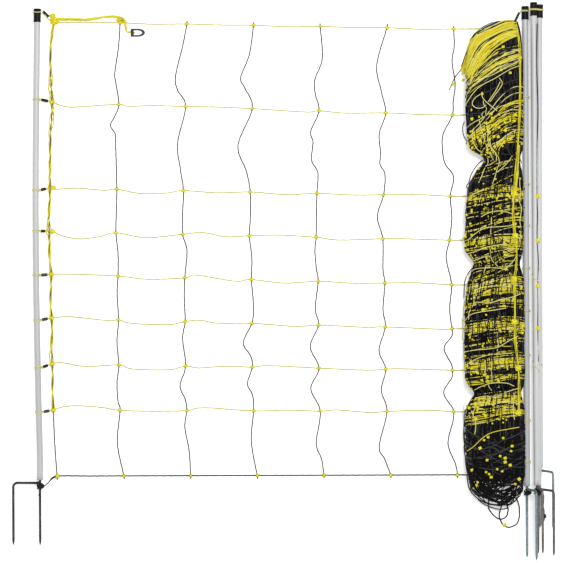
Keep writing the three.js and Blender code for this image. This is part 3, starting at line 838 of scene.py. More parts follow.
def wound_wire(phase, wander, seed):
    """A live wire wound down the first upright, bulging where the winding is slack."""
    chance = np.random.default_rng(seed)
    top, bottom = crossings[ROWS - 1][0][1] - 6 * MM, crossings[1][0][1] + 4 * MM
    steps = int((top - bottom) / (4 * MM))
    drift = np.cumsum(chance.normal(0, 0.05, steps + 1))
    line = []
    for i in range(steps + 1):
        y = top + (bottom - top) * i / steps
        angle = phase + 2 * math.pi * (top - y) / WINDING_PITCH + drift[i]
        down = (top - y) / PHOTO_SCALE
        slack = sum(size * math.exp(-(((down - at) / width) ** 2)) for at, width, size in SLACK_STRETCHES)
        reach = WINDING_REACH + wander * slack * MM
        near_knot = min(abs(y - knot[0][1]) for knot in crossings)
        swell = 1.8 * MM * math.exp(-((near_knot / (7 * MM)) ** 2))
        across = (reach + swell) * math.cos(angle)
        upward = min(reach, WINDING_LIFT) * math.sin(angle) + swell
        line.append(at_height(first_upright, y) + np.array([across, 0, upward]))
    return smooth_line(line, 3 * MM)


strands(
    "winding_strands",
    [wound_wire(0.0, 1.0, 1), wound_wire(1.5, 0.6, 2), wound_wire(-1.4, 0.85, 3)],
    LIVE_RADIUS,
    LIVE,
    sides=8,
    lobes=3,
    node="winding_wire",
)


# Hitches: a wire wrapped over itself again and again into a lump
def wrapped(centre, radii, turns, seed):
    """Line of a wire wound round an ellipsoid, its axis turning as it goes."""
    chance = np.random.default_rng(seed)
    phases = chance.uniform(0, 6.28, 3)
    points = []
    for i in range(int(turns * 10) + 1):
        a = i / 10 * 2 * math.pi
        tilt = phases[0] + a * 0.37
        lean = phases[1] + a * 0.23
        x, y, z = math.cos(a), math.sin(a) * math.cos(tilt), math.sin(a) * math.sin(tilt)
        x, y = x * math.cos(lean) - y * math.sin(lean), x * math.sin(lean) + y * math.cos(lean)
        points.append(centre + np.array([x, y, z]) * radii * chance.uniform(0.82, 1.04))
    return smooth_line(points, 1.4 * MM)


corner = crossings[ROWS - 1][0]
CORNER_LOOP = [(-3, 4, 2), (-4, 9, 2.5), (-2, 13, 3), (4, 11, 2.5), (8, 4, 3)]
CORNER_KNOTS = [(4, 0, 4.5), (-2, 13, 2.5), (9, 3, 2.5)]
strands(
    "corner_hitch",
    [
        wrapped(corner + mm(3, 0, 2), mm(10.5, 8.5, 4.4), 7, 21),
        wrapped(corner + mm(2, 1, 2), mm(7.5, 6, 3.6), 6, 22),
        wrapped(corner + mm(-1, 14, 1), mm(5.5, 4.5, 3.4), 4, 23),
        smooth_line(
            [corner + mm(*place) for place in CORNER_LOOP],
            2 * MM,
        ),
    ],
    1.5 * MM,
    LIVE,
    sides=7,
    lobes=3,
)
knots("corner_knots", [corner + mm(*place) for place in CORNER_KNOTS], [1.7, 1.25, 1.0], seed=4)


# Lead: a bunch of live wires, laid loose from the net's top corner to its clip
LEAD_REST = 3.8
OVER_ROW = 10.1
LEAD_STRANDS = 5
LEAD_SPREAD = 2.3 * MM
LEAD_PITCH = 85 * MM
lead_points = [
    drawn(13.6, 1095.2, 5.46),
    drawn(25, 1094, 5.46),
    drawn(44, 1094, LEAD_REST),
    drawn(88, 1094, LEAD_REST),
    drawn(128, 1099, LEAD_REST),
    drawn(156, 1101, LEAD_REST),
    drawn(167, 1100, 4.8),
    drawn(175, 1094, OVER_ROW),
    drawn(178, 1086, OVER_ROW),
    drawn(178, 1077, OVER_ROW),
    drawn(178, 1068, 4.8),
    drawn(182, 1062, LEAD_REST),
    drawn(186, 1062, LEAD_REST),
    drawn(190, 1062, LEAD_REST),
]
lead_line = smooth_line(lead_points, 3 * MM)


def bunch(line, count, offset, pitch, seed):
    """Strands that run along a line together, each winding slowly round it."""
    chance = np.random.default_rng(seed)
    tangents = np.gradient(line, axis=0)
    tangents /= np.linalg.norm(tangents, axis=1)[:, None]
    side = np.cross(tangents, [0, 0, 1.0])
    side /= np.linalg.norm(side, axis=1)[:, None]
    up = np.cross(side, tangents)
    run = run_along(line)
    lines = []
    for k in range(count):
        phase = 2 * math.pi * k / count + chance.uniform(-0.3, 0.3)
        wander = chance.uniform(0.85, 1.15)
        angle = phase + 2 * math.pi * run / pitch * wander
        reach = offset * (0.9 + 0.12 * np.sin(run / 0.021 + phase * 3))
        across = side * (reach * np.cos(angle))[:, None]
        upward = up * (reach * np.sin(angle) * 0.85)[:, None]
        lines.append(line + across + upward)
    return lines


lead = strands(
    "lead_bunch",
    bunch(lead_line, LEAD_STRANDS, LEAD_SPREAD, LEAD_PITCH, 5),
    1.7 * MM,
    LIVE,
    sides=8,
    lobes=3,
    node="lead",
)


# Clip at the lead's end: a flat ring with a pointed nose, a bar across its back and a metal tongue
CLIP_RIM = 3.6 * MM
CLIP_BAR = 7 * MM


def make_clip_ring():
    low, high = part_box("clip_ring")
    length, half = high[0] - low[0], (high[1] - low[1]) / 2
    middle = np.array([low[0], (low[1] + high[1]) / 2, 0])

    def outline(inset, back):
        """The ring's outline, or its window's at an inset, from its straight back to its nose."""
        shoulder = length * 0.55
        nose = length - inset * 1.6
        width = half - inset
        side = [(back, -width), (shoulder, -width)]
        for t in np.linspace(0, 1, 9)[1:]:
            ax, bx, cx = shoulder, nose - inset, nose
            ay, by, cy = -width, -width * 0.8, 0
            x = (1 - t) ** 2 * ax + 2 * t * (1 - t) * bx + t * t * cx
            y = (1 - t) ** 2 * ay + 2 * t * (1 - t) * by + t * t * cy
            side.append((x, y))
        return side + [(x, -y) for x, y in reversed(side[:-1])]

    def plate(name, outline_points, bottom, top):
        count = len(outline_points)
        vertices = [(x, y, z) for z in (bottom, top) for x, y in outline_points]
        faces = [tuple(range(count - 1, -1, -1)), tuple(range(count, 2 * count))]
        faces += [(i, (i + 1) % count, count + (i + 1) % count, count + i) for i in range(count)]
        return linked_mesh(name, vertices, faces, smooth=False)

    ring = plate("clip_ring_moulding", outline(0, 0), 0, high[2])
    window = plate("window", outline(CLIP_RIM, CLIP_BAR), -high[2], 3 * high[2])
    cut_out(ring, window)
    round_edges(ring, 0.9 * MM, 3)
    shade(ring)
    ring.location = middle
    apply_place(ring)
    return finish_piece(ring, CLIP_DARK, "clip_ring")


def make_tongue():
    low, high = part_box("clip_tongue")
    select_only()
    bpy.ops.mesh.primitive_cylinder_add(vertices=28, radius=1, depth=1, location=(0, 0, 0.5))
    tongue = bpy.context.object
    tongue.name = "clip_tongue_plate"
    tongue.scale = ((high[0] - low[0]) / 2, (high[1] - low[1]) / 2, high[2] - low[2])
    tongue.location = ((high[0] + low[0]) / 2, (high[1] + low[1]) / 2, low[2])
    bpy.ops.object.transform_apply(location=False, rotation=False, scale=True)
    round_edges(tongue, 0.5 * MM, 2)
    shade(tongue)
    apply_place(tongue)
    return finish_piece(tongue, TONGUE_METAL, "clip_tongue")


clip_ring = make_clip_ring()
clip_tongue = make_tongue()
second_column = crossings[ROWS - 1][1]
strands(
    "lead_hitch",
    [
        wrapped(second_column + mm(2, 4, 1), mm(7.5, 7, 3.6), 5, 31),
        wrapped(second_column + mm(-4, 6, 2), mm(5, 4, 3), 3, 32),
    ],
    1.3 * MM,
    LIVE,
    sides=7,
    lobes=3,
)

# Black cord at the posts' feet: the lashings, and the hitches over them
LASHING_RADIUS = 2 * MM
LASHING_TURNS = 2.6


def make_lashing(post):
    """Cord wound round a post's foot inside its packed lashing, and the lashing's middle."""
    name = f"post_{post}_lashing"
    low, high = corners(name)
    middle = (low + high) / 2
    reach = (high[0] - low[0]) / 2 - LASHING_RADIUS
    count = int(LASHING_TURNS * 22)
    line = []
    for i in range(count + 1):
        share = i / count
        angle = share * LASHING_TURNS * 2 * math.pi
        y = high[1] - LASHING_RADIUS - share * (high[1] - low[1] - 2 * LASHING_RADIUS)
        line.append((middle[0] + reach * math.cos(angle), y, middle[2] + reach * math.sin(angle)))
    strands(
        f"{name}_cord",
        [np.array(line)],
        LASHING_RADIUS,
        BLACK_CORD,
        sides=10,
        lobes=3,
        node=name,
    )
    return middle


foot_lines = []
for post, seed in ((1, 41), (2, 42), (4, 43), (5, 44)):
    middle = make_lashing(post)
    foot_lines.append(wrapped(middle + mm(0, 4, 5), mm(7.5, 6.5, 3.6), 3, seed))
    foot_lines.append(wrapped(middle + mm(5.5, 2, 3), mm(4.5, 5, 4), 2.4, seed + 10))
first_foot = sum(corners("post_1_lashing")) / 2
first_knot = crossings[0][0]
foot_lines += [
    smooth_line(
        [
            first_foot + mm(4, 2, 4),
            first_foot + mm(12, 3, 2),
            first_knot + mm(-10, -5, 1),
            first_knot + mm(-1, -1, 1),
        ],
        2 * MM,
    ),
    smooth_line(
        [
            first_foot + mm(2, -2, 5),
            first_foot + mm(0, -12, -2),
            first_foot + mm(-4, -22, -8),
        ],
        2 * MM,
    ),
]
strands("foot_hitches", foot_lines, 1.5 * MM, BLACK_CORD, sides=7, lobes=3)

# Slack loops under the hank and the loose tail at the last post's foot
LOOSE_CORD = 3 * MM
CORD_FULLNESS = 1.25
FLOOR_CORD = 2.4
LOOPS = [
    [
        (90, -40, 14),
        (88, -72, 8),
        (94, -88, FLOOR_CORD),
        (112, -104, FLOOR_CORD),
        (129, -101, FLOOR_CORD),
        (136, -84, FLOOR_CORD),
        (132, -70, 6),
        (128, -40, 14),
    ],
    [
        (118, -40, 22),
        (118, -72, 16),
        (114, -96, 6 + FLOOR_CORD),
        (124, -119, FLOOR_CORD),
        (140, -124, FLOOR_CORD),
        (158, -114, FLOOR_CORD),
        (163, -90, FLOOR_CORD),
        (158, -62, 12),
        (140, -40, 22),
    ],
]


def free_cord(name, line, node):
    """A cord that lies loose."""
    piece = strands(
        name,
        [line],
        CORD_FULLNESS * LOOSE_CORD / 2,
        BLACK_CORD,
        sides=8,
        lobes=3,
        node=node,
    )


for index, places in enumerate(LOOPS):
    loop_line = smooth_line([drawn(NET_END + x, y, z) for x, y, z in places], 2.5 * MM)
    free_cord(f"slack_loop_{index + 1}_cord", loop_line, f"slack_loop_{index + 1}")

TAIL = [
    (219, -50, 17),
    (220, -62, 5),
    (220, -74, FLOOR_CORD),
    (222, -90, FLOOR_CORD),
    (222, -104, FLOOR_CORD),
    (218, -120, FLOOR_CORD),
]
tail_low, tail_high = corners("tail_cord")
inset = LOOSE_CORD / 2
tail_root = np.array([tail_low[0] + inset, tail_high[1] - inset, tail_high[2] - inset])
tail_line = smooth_line([tail_root, *(drawn(NET_END + x, y, z) for x, y, z in TAIL)], 2.5 * MM)
free_cord("tail_strand", tail_line, "tail_cord")

# Hank: the gathered net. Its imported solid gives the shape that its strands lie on.
hank_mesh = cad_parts["hank_core"].data
hank_tree = BVHTree.FromPolygons(
    [v.co[:] for v in hank_mesh.vertices], [tuple(p.vertices) for p in hank_mesh.polygons]
)
hank_low, hank_high = corners("hank_core")
HANK_STEP = 4 * MM
SKIN_REACH = 0.3


def struck(origin, way):
    """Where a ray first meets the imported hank, if it does."""
    place, _, _, _ = hank_tree.ray_cast(Vector(origin), Vector(way), SKIN_REACH * 2)
    return None if place is None else np.array(place)


def hank_section(y):
    """Middle of the hank's section at a height up the net."""
    x = (hank_low[0] + hank_high[0]) / 2
    z = 0.02
    for _ in range(3):
        left = struck((x - SKIN_REACH, y, z), (1, 0, 0))
        right = struck((x + SKIN_REACH, y, z), (-1, 0, 0))
        if left is None or right is None:
            return None
        x = (left[0] + right[0]) / 2
        top = struck((x, y, SKIN_REACH), (0, 0, -1))
        z = top[2] / 2
    return np.array([x, y, z])


section_heights = np.arange(hank_low[1] + 1.5 * MM, hank_high[1] - 1.5 * MM, HANK_STEP)
sections = np.array([s for s in (hank_section(y) for y in section_heights) if s is not None])


def hank_middle(y):
    return at_height(sections, y)


def hank_skin(middle, angle):
    """Place on the hank's skin beside a section's middle, at an angle round it from the right."""
    way = np.array([math.cos(angle), 0, math.sin(angle)])
    hit = struck(middle, way)
    return middle + way * 20 * MM if hit is None else hit


def hank_top(x, y):
    """Height of the hank's upper side over a place, or nothing beside it."""
    hit = struck((x, y, SKIN_REACH), (0, 0, -1))
    return None if hit is None else hit[2]


# The skin is sampled once on a grid, and strands are placed on it from there
SKIN_ANGLES = 48
skin_grid = np.array(
    [[hank_skin(middle, 2 * math.pi * k / SKIN_ANGLES) for k in range(SKIN_ANGLES)] for middle in sections]
)


def smoothed(grid, passes):
    """Evens out a grid of places, round the hank and along it."""
    for _ in range(passes):
        grid = (grid + np.roll(grid, 1, axis=1) + np.roll(grid, -1, axis=1)) / 3
        inner = (grid[:-2] + grid[1:-1] + grid[2:]) / 3
        grid = np.concatenate([grid[:1], inner, grid[-1:]])
    return grid


skin_grid = smoothed(skin_grid, 2)
skin_reach = np.linalg.norm(skin_grid - sections[:, None], axis=2)


# The posts press the hank's right side in, by this much in mm
RIGHT_PRESS = 4.5
# How high the lowest strands' middles lie over the floor
STRAND_REST = 1.2 * MM


def on_skin(y, angle, lift=0.0):
    """Place on the hank: its height up the net, its angle round it from the right, its lift in mm."""
    row = np.interp(y, sections[:, 1], np.arange(len(sections)))
    low = int(min(row, len(sections) - 2))
    share = row - low
    turn = (angle / (2 * math.pi)) % 1 * SKIN_ANGLES
    left = int(turn) % SKIN_ANGLES
    part = turn - int(turn)
    right = (left + 1) % SKIN_ANGLES
    below = (1 - part) * skin_reach[low][left] + part * skin_reach[low][right]
    above = (1 - part) * skin_reach[low + 1][left] + part * skin_reach[low + 1][right]
    pressed = RIGHT_PRESS * max(math.cos(angle), 0) ** 3
    reach = (1 - share) * below + share * above + (lift - pressed) * MM
    place = hank_middle(y) + reach * np.array([math.cos(angle), 0, math.sin(angle)])
    place[1] = y
    place[2] = max(place[2], STRAND_REST)
    return place


HANK_FRONT = 78 * MM


def net_y(px):
    """Height up the net of a line of the photograph, at the hank's front."""
    return at_px(0, px, HANK_FRONT)[1]


# Below these lines of the photograph the hank is loose loops of cord, with nothing packed inside them
CORE_FOOT = 483
LOOSE_FOOT = (474, 489)


def make_hank_core():
    """Dark middle of the hank, a little inside its strands, ridged as packed cords are: the black of the
    packed cords, darkened further as painted shade between the strands.
    """
    chance = np.random.default_rng(61)
    ridges = chance.uniform(-1, 1, SKIN_ANGLES)
    packed = [index for index, middle in enumerate(sections) if middle[1] >= net_y(CORE_FOOT)]
    vertices = []
    for index in packed:
        middle = sections[index]
        inner = skin_grid[index] - middle
        reach = np.linalg.norm(inner, axis=1)[:, None]
        depth = (4.2 + 0.9 * np.roll(ridges, index // 9)[:, None]) * MM
        ring = middle + inner / reach * np.maximum(reach - depth, 3 * MM)
        ring[:, 2] = np.maximum(ring[:, 2], 0.4 * MM)
        vertices.append(ring)
    faces = ring_faces(len(packed), SKIN_ANGLES)
    mesh_piece("hank_middle", np.vstack(vertices), faces, HANK_CORE, node="hank_core")


make_hank_core()
bottom_y, top_y = sections[0, 1], sections[-1, 1]


def gathered(name, lines, radius, material, sides=5):
    """One piece of the gathered net's strands, with their radius in mm."""
    strands(name, lines, radius * MM, material, sides=sides)


def running_strand(angle, lift, seed, low=None, high=None, step=7 * MM):
    """A black strand that runs up the hank, wandering round it as it goes."""
    chance = np.random.default_rng(seed)
    low = net_y(chance.uniform(*LOOSE_FOOT)) if low is None else low
    high = top_y if high is None else high
    count = max(4, int((high - low) / (16 * MM)))
    wander = np.cumsum(chance.normal(0, 0.055, count + 1))
    wander -= np.linspace(0, wander[-1], count + 1) * 0.8
    heave = chance.uniform(-1.3, 1.5, count + 1)
    heights = [low + (high - low) * i / count for i in range(count + 1)]
    points = [on_skin(y, angle + turn, lift + rise) for y, turn, rise in zip(heights, wander, heave)]
    return smooth_line(points, step)


def front_and_back(count, seed):
    """Angles round the hank, two in three of them on the side that shows."""
    chance = np.random.default_rng(seed)
    shown = int(count * 0.68)
    hidden = count - shown
    front = (np.arange(shown) + chance.uniform(-0.4, 0.4, shown)) / shown * math.pi
    back = math.pi + (np.arange(hidden) + chance.uniform(-0.4, 0.4, hidden)) / hidden * math.pi
    return front, back


front_angles, back_angles = front_and_back(160, 62)
chance = np.random.default_rng(63)
front_lines = [running_strand(a, chance.uniform(-2.4, 1.2), 700 + i) for i, a in enumerate(front_angles)]
gathered("gathered_uprights", front_lines[::2] + front_lines[1::4], 1.25, STRAND_BLACK)
# One in four of the front strands is grey, as painted highlight.
gathered("gathered_uprights_highlight", front_lines[3::4], 1.2, GREY_HIGHLIGHT_STRAND)
back_lines = [running_strand(a, chance.uniform(-2.6, -0.4), 900 + i) for i, a in enumerate(back_angles)]
gathered("gathered_uprights_behind", back_lines, 1.25, STRAND_BLACK)


def crossing_strands(count, seed, lift, shortest=50, longest=320):
    """Strands that run some way up the hank, over the gathered rows."""
    chance = np.random.default_rng(seed)
    lines = []
    for k in range(count):
        reach = chance.uniform(shortest, longest) * MM
        low = chance.uniform(net_y(438), net_y(92) - reach)
        angle = chance.uniform(0.3, 3.0)
        lines.append(running_strand(angle, chance.uniform(*lift), seed * 100 + k, low, low + reach, 5 * MM))
    return lines


gathered("crossing_uprights", crossing_strands(70, 64, (2.2, 5.0)), 1.1, STRAND_BLACK)
# The grey crossing strands are painted highlight.
gathered("crossing_greys", crossing_strands(26, 65, (2.4, 4.6)), 1.0, GREY_HIGHLIGHT_STRAND)


def band_strand(level, rise, bow, lift, seed, from_angle=3.3, to_angle=-0.1, fray=2.0):
    """A live wire across the hank: its level at the middle, how far it rises to the right, how it bows."""
    chance = np.random.default_rng(seed)
    count = 13
    points = []
    drift = np.cumsum(chance.normal(0, fray * 0.35, count + 1)) * MM
    drift -= np.linspace(0, drift[-1], count + 1) * 0.6
    for i in range(count + 1):
        share = i / count
        angle = from_angle + (to_angle - from_angle) * share
        across = -math.cos(angle)
        y = level + rise * -across / 2 + bow * math.sin(angle) + drift[i]
        y = min(max(y, bottom_y + 2 * MM), top_y)
        points.append(on_skin(y, angle, lift + chance.uniform(-0.5, 0.7)))
    return smooth_line(points, 4 * MM)


# Each gathered row: its level in the photograph, its depth, how far it rises to the right, its bow, its wires
ROW_BANDS = [
    (128, 15, 34, 8, 22),
    (147, 9, 26, 4, 12),
    (172, 16, 14, 3, 5),
    (197, 6, 5, 4, 20),
    (208, 9, 8, 4, 9),
    (226, 9, 14, 5, 6),
    (243, 7, 4, 3, 20),
    (256, 7, 14, 2, 9),
    (276, 9, 12, 6, 6),
    (290, 9, 5, 5, 22),
    (304, 8, 3, 5, 10),
    (328, 7, 3, 3, 22),
    (342, 8, 8, 3, 8),
    (366, 8, 5, 3, 24),
    (380, 6, 8, 3, 8),
    (404, 7, 4, 2, 24),
    (418, 6, 7, 2, 9),
]
band_lines, pale_lines = [], []
for index, (level, depth, rise, bow, count) in enumerate(ROW_BANDS):
    chance = np.random.default_rng(300 + index)
    for k in range(count):
        y = net_y(level + chance.normal(0, 0.5) * depth)
        begin = chance.uniform(2.3, 3.5)
        finish = chance.uniform(-0.25, 0.75)
        line = band_strand(
            y,
            rise * PHOTO_SCALE * chance.uniform(0.5, 1.5),
            bow * PHOTO_SCALE * chance.uniform(0.3, 1.7),
            chance.uniform(0.6, 3.4),
            5000 + index * 100 + k,
            begin,
            finish,
        )
        (pale_lines if k % 4 == 0 else band_lines).append(line)
pale_lines += crossing_strands(16, 66, (3.0, 5.2), 40, 160)
gathered("gathered_rows", band_lines, 1.1, LIVE)
chance = np.random.default_rng(67)
net_folds = [
    band_strand(
        net_y(chance.uniform(84, 424)),
        chance.uniform(-22, 34) * PHOTO_SCALE,
        chance.uniform(-8, 12) * PHOTO_SCALE,
        chance.uniform(1.8, 4.6),
        6700 + k,
        chance.uniform(1.8, 3.3),
        chance.uniform(-0.1, 1.4),
        4.0,
    )
    for k in range(90)
]
gathered("net_folds", net_folds[:64], 1.1, STRAND_BLACK)
# The last folds are grey, as painted highlight.
gathered("net_folds_highlight", net_folds[64:], 1.0, GREY_HIGHLIGHT_STRAND)


def hanging_z(points_px, lift):
    """Lays a line of photograph places over the hank, and brings it down gently beside it."""
    flat = smooth_line([np.append(np.array(p) * PHOTO_SCALE, 0) for p in points_px], 3 * MM)
    seen = [(x / PHOTO_SCALE, y / PHOTO_SCALE) for x, y, _ in flat]
    line = np.array([at_px(x, y, HANK_FRONT) for x, y in seen])
    for _ in range(2):
        heights = np.array([hank_top(x, y) or 0.0 for x, y, _ in line])
        line = np.array([at_px(x, y, z) for (x, y), z in zip(seen, heights)])
    heights = np.array([hank_top(x, y) or 0.0 for x, y, _ in line])
    beside = heights == 0
    if beside.all():
        heights[:] = 8 * MM
    elif beside.any():
        run = np.arange(len(line))
        nearest = np.interp(run, run[~beside], heights[~beside])
        away = np.minimum(np.abs(run[:, None] - run[~beside][None, :]).min(axis=1) * 3 * MM, 40 * MM)
        heights = np.where(beside, np.maximum(nearest - away * 0.8, 4 * MM), heights)
    kernel = np.ones(5) / 5
    padded = np.concatenate([heights[:1].repeat(2), heights, heights[-1:].repeat(2)])
    line[:, 2] = np.convolve(padded, kernel, "valid") + lift * MM
    return line


def between(outer, inner, share):
    """Line of photograph places part of the way from one line to another."""
    first = respaced(np.array([(*p, 0) for p in outer], float), 1)
    second = respaced(np.array([(*p, 0) for p in inner], float), 1)
    at = np.linspace(0, 1, 9)
    a = np.stack([np.interp(at, np.linspace(0, 1, len(first)), first[:, k]) for k in (0, 1)], axis=1)
    b = np.stack([np.interp(at, np.linspace(0, 1, len(second)), second[:, k]) for k in (0, 1)], axis=1)
    return a + (b - a) * share


def fan(outer, inner, count, seed, lift=(0.5, 4.0), jitter=1.3, ends=0.08):
    """Many strands between two lines of the photograph."""
    chance = np.random.default_rng(seed)
    lines = []
    for k in range(count):
        middle = between(outer, inner, chance.uniform(0, 1))
        middle += np.cumsum(chance.normal(0, jitter / 3, middle.shape), axis=0)
        first = chance.uniform(0, ends)
        last = 1 - chance.uniform(0, ends)
        keep = np.linspace(first, last, 9) * 8
        points = np.stack([np.interp(keep, np.arange(9), middle[:, k2]) for k2 in (0, 1)], axis=1)
        lines.append(hanging_z(points, chance.uniform(*lift)))
    return lines


# The top row's wires, combed down to the left from the hank's tie at the caps
LOBE_OUTER = [(516, 21), (505, 21), (496, 25), (484, 30), (472, 35), (467, 48), (463.5, 62), (461.5, 73)]
LOBE_INNER = [(519, 36), (508, 39), (498, 45), (489, 53), (481, 62), (475, 71), (470, 81)]
SECOND_OUTER = [(520, 44), (508, 46), (497, 51), (487, 59), (478, 68), (471, 77), (467, 84)]
SECOND_INNER = [(521, 66), (508, 71), (496, 77), (486, 83), (476, 88), (468, 93), (466, 102)]
top_lines = fan(LOBE_OUTER, LOBE_INNER, 84, 71, (0.3, 7.0), 1.9)
gathered("top_sweep", top_lines, 1.15, LIVE)
# Pale strands laid highest on the lobe: painted highlight on its yellow wires.
pale_lines += fan(LOBE_OUTER, LOBE_INNER, 10, 74, (4.0, 7.4), 1.8)
pale_lines += fan(SECOND_OUTER, SECOND_INNER, 16, 72, (2.0, 5.5), 1.6)
yellow_sweep = fan(SECOND_OUTER, SECOND_INNER, 20, 75, (1.5, 4.5), 2.0, 0.35)
gathered("second_sweep", yellow_sweep, 1.15, LIVE)
# Black strands among the combed wires; those in the top lobe are laid as painted shade between its yellow
# wires.
dark_lines = fan(SECOND_OUTER, SECOND_INNER, 26, 73, (1.5, 5.2), 2.0)
dark_lines += fan(LOBE_OUTER, LOBE_INNER, 16, 76, (2.5, 6.6), 2.0, 0.3)

# Single strands that stand out in the photograph, pale and dark
STRAY_PALE = [
    [(521, 50), (512, 52), (503, 54), (494, 60), (484, 68), (474, 77), (466, 89)],
    [(520, 60), (509, 66), (500, 71), (490, 76), (480, 79), (470, 83)],
    [(519, 66), (511, 69), (502, 74), (494, 79), (484, 84), (476, 90), (469, 99), (465, 107)],
    [(482, 92), (482, 97), (486, 102), (492, 107), (497, 111)],
    [(500, 82), (496, 90), (492, 96), (488, 102)],
    [(499, 78), (502, 83), (500, 88), (494, 96), (490, 102)],
    [(481, 94), (475, 98), (472, 104), (476, 108), (482, 108), (486, 105)],
    [(512, 156), (508, 162), (502, 168), (497, 172)],
    [(466, 202), (469, 197), (476, 193), (484, 190)],
    [(481, 217), (488, 213), (497, 211), (506, 212), (512, 214)],
    [(468, 240), (476, 233), (485, 228), (495, 227), (508, 226), (514, 224)],
    [(466, 254), (474, 252), (484, 248), (492, 246), (505, 244)],
    [(490, 249), (491, 258), (495, 264), (500, 267), (508, 266), (513, 261), (517, 255)],
    [(470, 262), (478, 259), (488, 256), (492, 259)],
    [(465, 277), (473, 270), (483, 268), (497, 268), (508, 270)],
    [(476, 296), (476, 290), (485, 287), (498, 286), (512, 287)],
    [(476, 302), (488, 303), (500, 300), (512, 297), (520, 294)],
    [(464, 322), (470, 315), (480, 312), (494, 310), (506, 308)],
    [(464, 352), (475, 350), (487, 349), (498, 347), (510, 340), (518, 336)],
    [(464, 366), (476, 359), (488, 355), (500, 354), (512, 353)],
    [(474, 390), (482, 386), (492, 383), (506, 383), (514, 386)],
    [(475, 398), (486, 396), (496, 397), (506, 392), (519, 388)],
    [(464, 402), (462.7, 412), (463.5, 424), (462.7, 436), (465, 448)],
    [(464, 300), (463, 312), (464.5, 330), (463, 346), (464, 366)],
    [(470, 405), (480, 402), (493, 404), (506, 401), (519, 404)],
]
for index, places in enumerate(STRAY_PALE):
    pale_lines.append(hanging_z(places, 5.2 + 0.25 * (index % 3)))
gathered("pale_strands", pale_lines, 0.95, LIVE_PALE, sides=6)
STRAY_DARK = [
    [(475, 34), (480, 29), (486, 25.5), (494, 22.5), (502, 21)],
    [(464, 66), (459, 72), (454, 79), (449, 90.5)],
    [(464, 122), (462.4, 127), (462.9, 134), (465, 139), (468.5, 143)],
    [(470, 405), (466, 411), (464.3, 420), (463.4, 430), (465, 448), (467, 462)],
    [(466, 410), (465, 430), (466, 452), (468, 474), (473, 487)],
    [(487, 158), (480, 162), (474, 169), (470, 177), (467, 189)],
    [(474, 266), (468, 273), (464.5, 282), (463.5, 298)],
]
for places in STRAY_DARK:
    dark_lines.append(hanging_z(places, 2.5))
gathered("dark_strands", dark_lines, 1.15, BLACK_CORD, sides=6)

# The thick wire down the hank's right side, knotted at each row
SIDE_WIRE = [
    (516, 24), (518.5, 40), (519.5, 56), (520, 75), (519.5, 100), (519, 125), (517.5, 145), (516, 165),
    (515, 180), (513.7, 195), (512.6, 212), (513.6, 225), (515, 237), (516.5, 252), (515.5, 268),
    (514, 280), (514.8, 300), (514.4, 322), (515, 340), (516.5, 352), (518, 368), (518.6, 390),
    (518.6, 412),
]
side_lines = [
    hanging_z([(x + shift + 0.5 * math.sin(y / 9 + phase), y) for x, y in SIDE_WIRE], lift)
    for shift, phase, lift in ((0, 0, 5.4), (0.7, 2.2, 5.0), (-0.5, 4.1, 4.6))
]
side_lines += [
    hanging_z([(x + shift, y) for x, y in SIDE_WIRE if 140 < y < 200], 5.8) for shift in (1.2, 2.0)
]
LOW_WIRE = [(519, 427), (508, 429), (497, 431), (488, 434), (480, 440), (474, 446), (467, 451)]
side_lines += [hanging_z(LOW_WIRE, 5.5)]
strands("side_wire", side_lines, 1.15 * MM, LIVE, sides=7, lobes=3)

# Bottom of the hank: the base row's black cords, folded over and over
chance = np.random.default_rng(81)
fold_lines = []
for k in range(64):
    # This draw is passed over, and the folds are laid by those after it
    chance.random()
    level = net_y(chance.uniform(436, 496))
    rise = chance.uniform(-26, 26) * PHOTO_SCALE
    bow = -chance.uniform(2, 14) * PHOTO_SCALE
    lift = chance.uniform(-0.6, 3.0)
    fold_lines.append(band_strand(level, rise, bow, lift, 8100 + k, 3.6, -0.4, 4.5))
FOLD_LEFT = [(466, 455), (466, 470), (470, 484), (479, 496), (491, 503), (504, 503), (514, 497), (519, 486)]
FOLD_RIGHT = [(476, 440), (476, 458), (481, 472), (488, 484), (497, 491), (506, 490), (513, 482), (518, 468)]
base_loops = fan(FOLD_LEFT, FOLD_RIGHT, 20, 82, (0.0, 4.0), 4.2, 0.45)
HEM_LOW = [(470, 486), (476, 495), (485, 503), (496, 508), (506, 507), (514, 501), (519, 491), (520, 478)]
HEM_HIGH = [(474, 478), (480, 488), (488, 495), (498, 499), (507, 497), (513, 491), (517, 482), (519, 470)]
base_loops += fan(HEM_LOW, HEM_HIGH, 9, 83, (1.0, 5.0), 3.4, 0.4)
gathered("folded_base", fold_lines[::3] + fold_lines[1::3] + base_loops, 1.4, STRAND_BLACK, sides=6)
# One in three folds is grey, as painted highlight.
gathered("folded_base_highlight", fold_lines[2::3], 1.25, GREY_HIGHLIGHT_STRAND, sides=6)


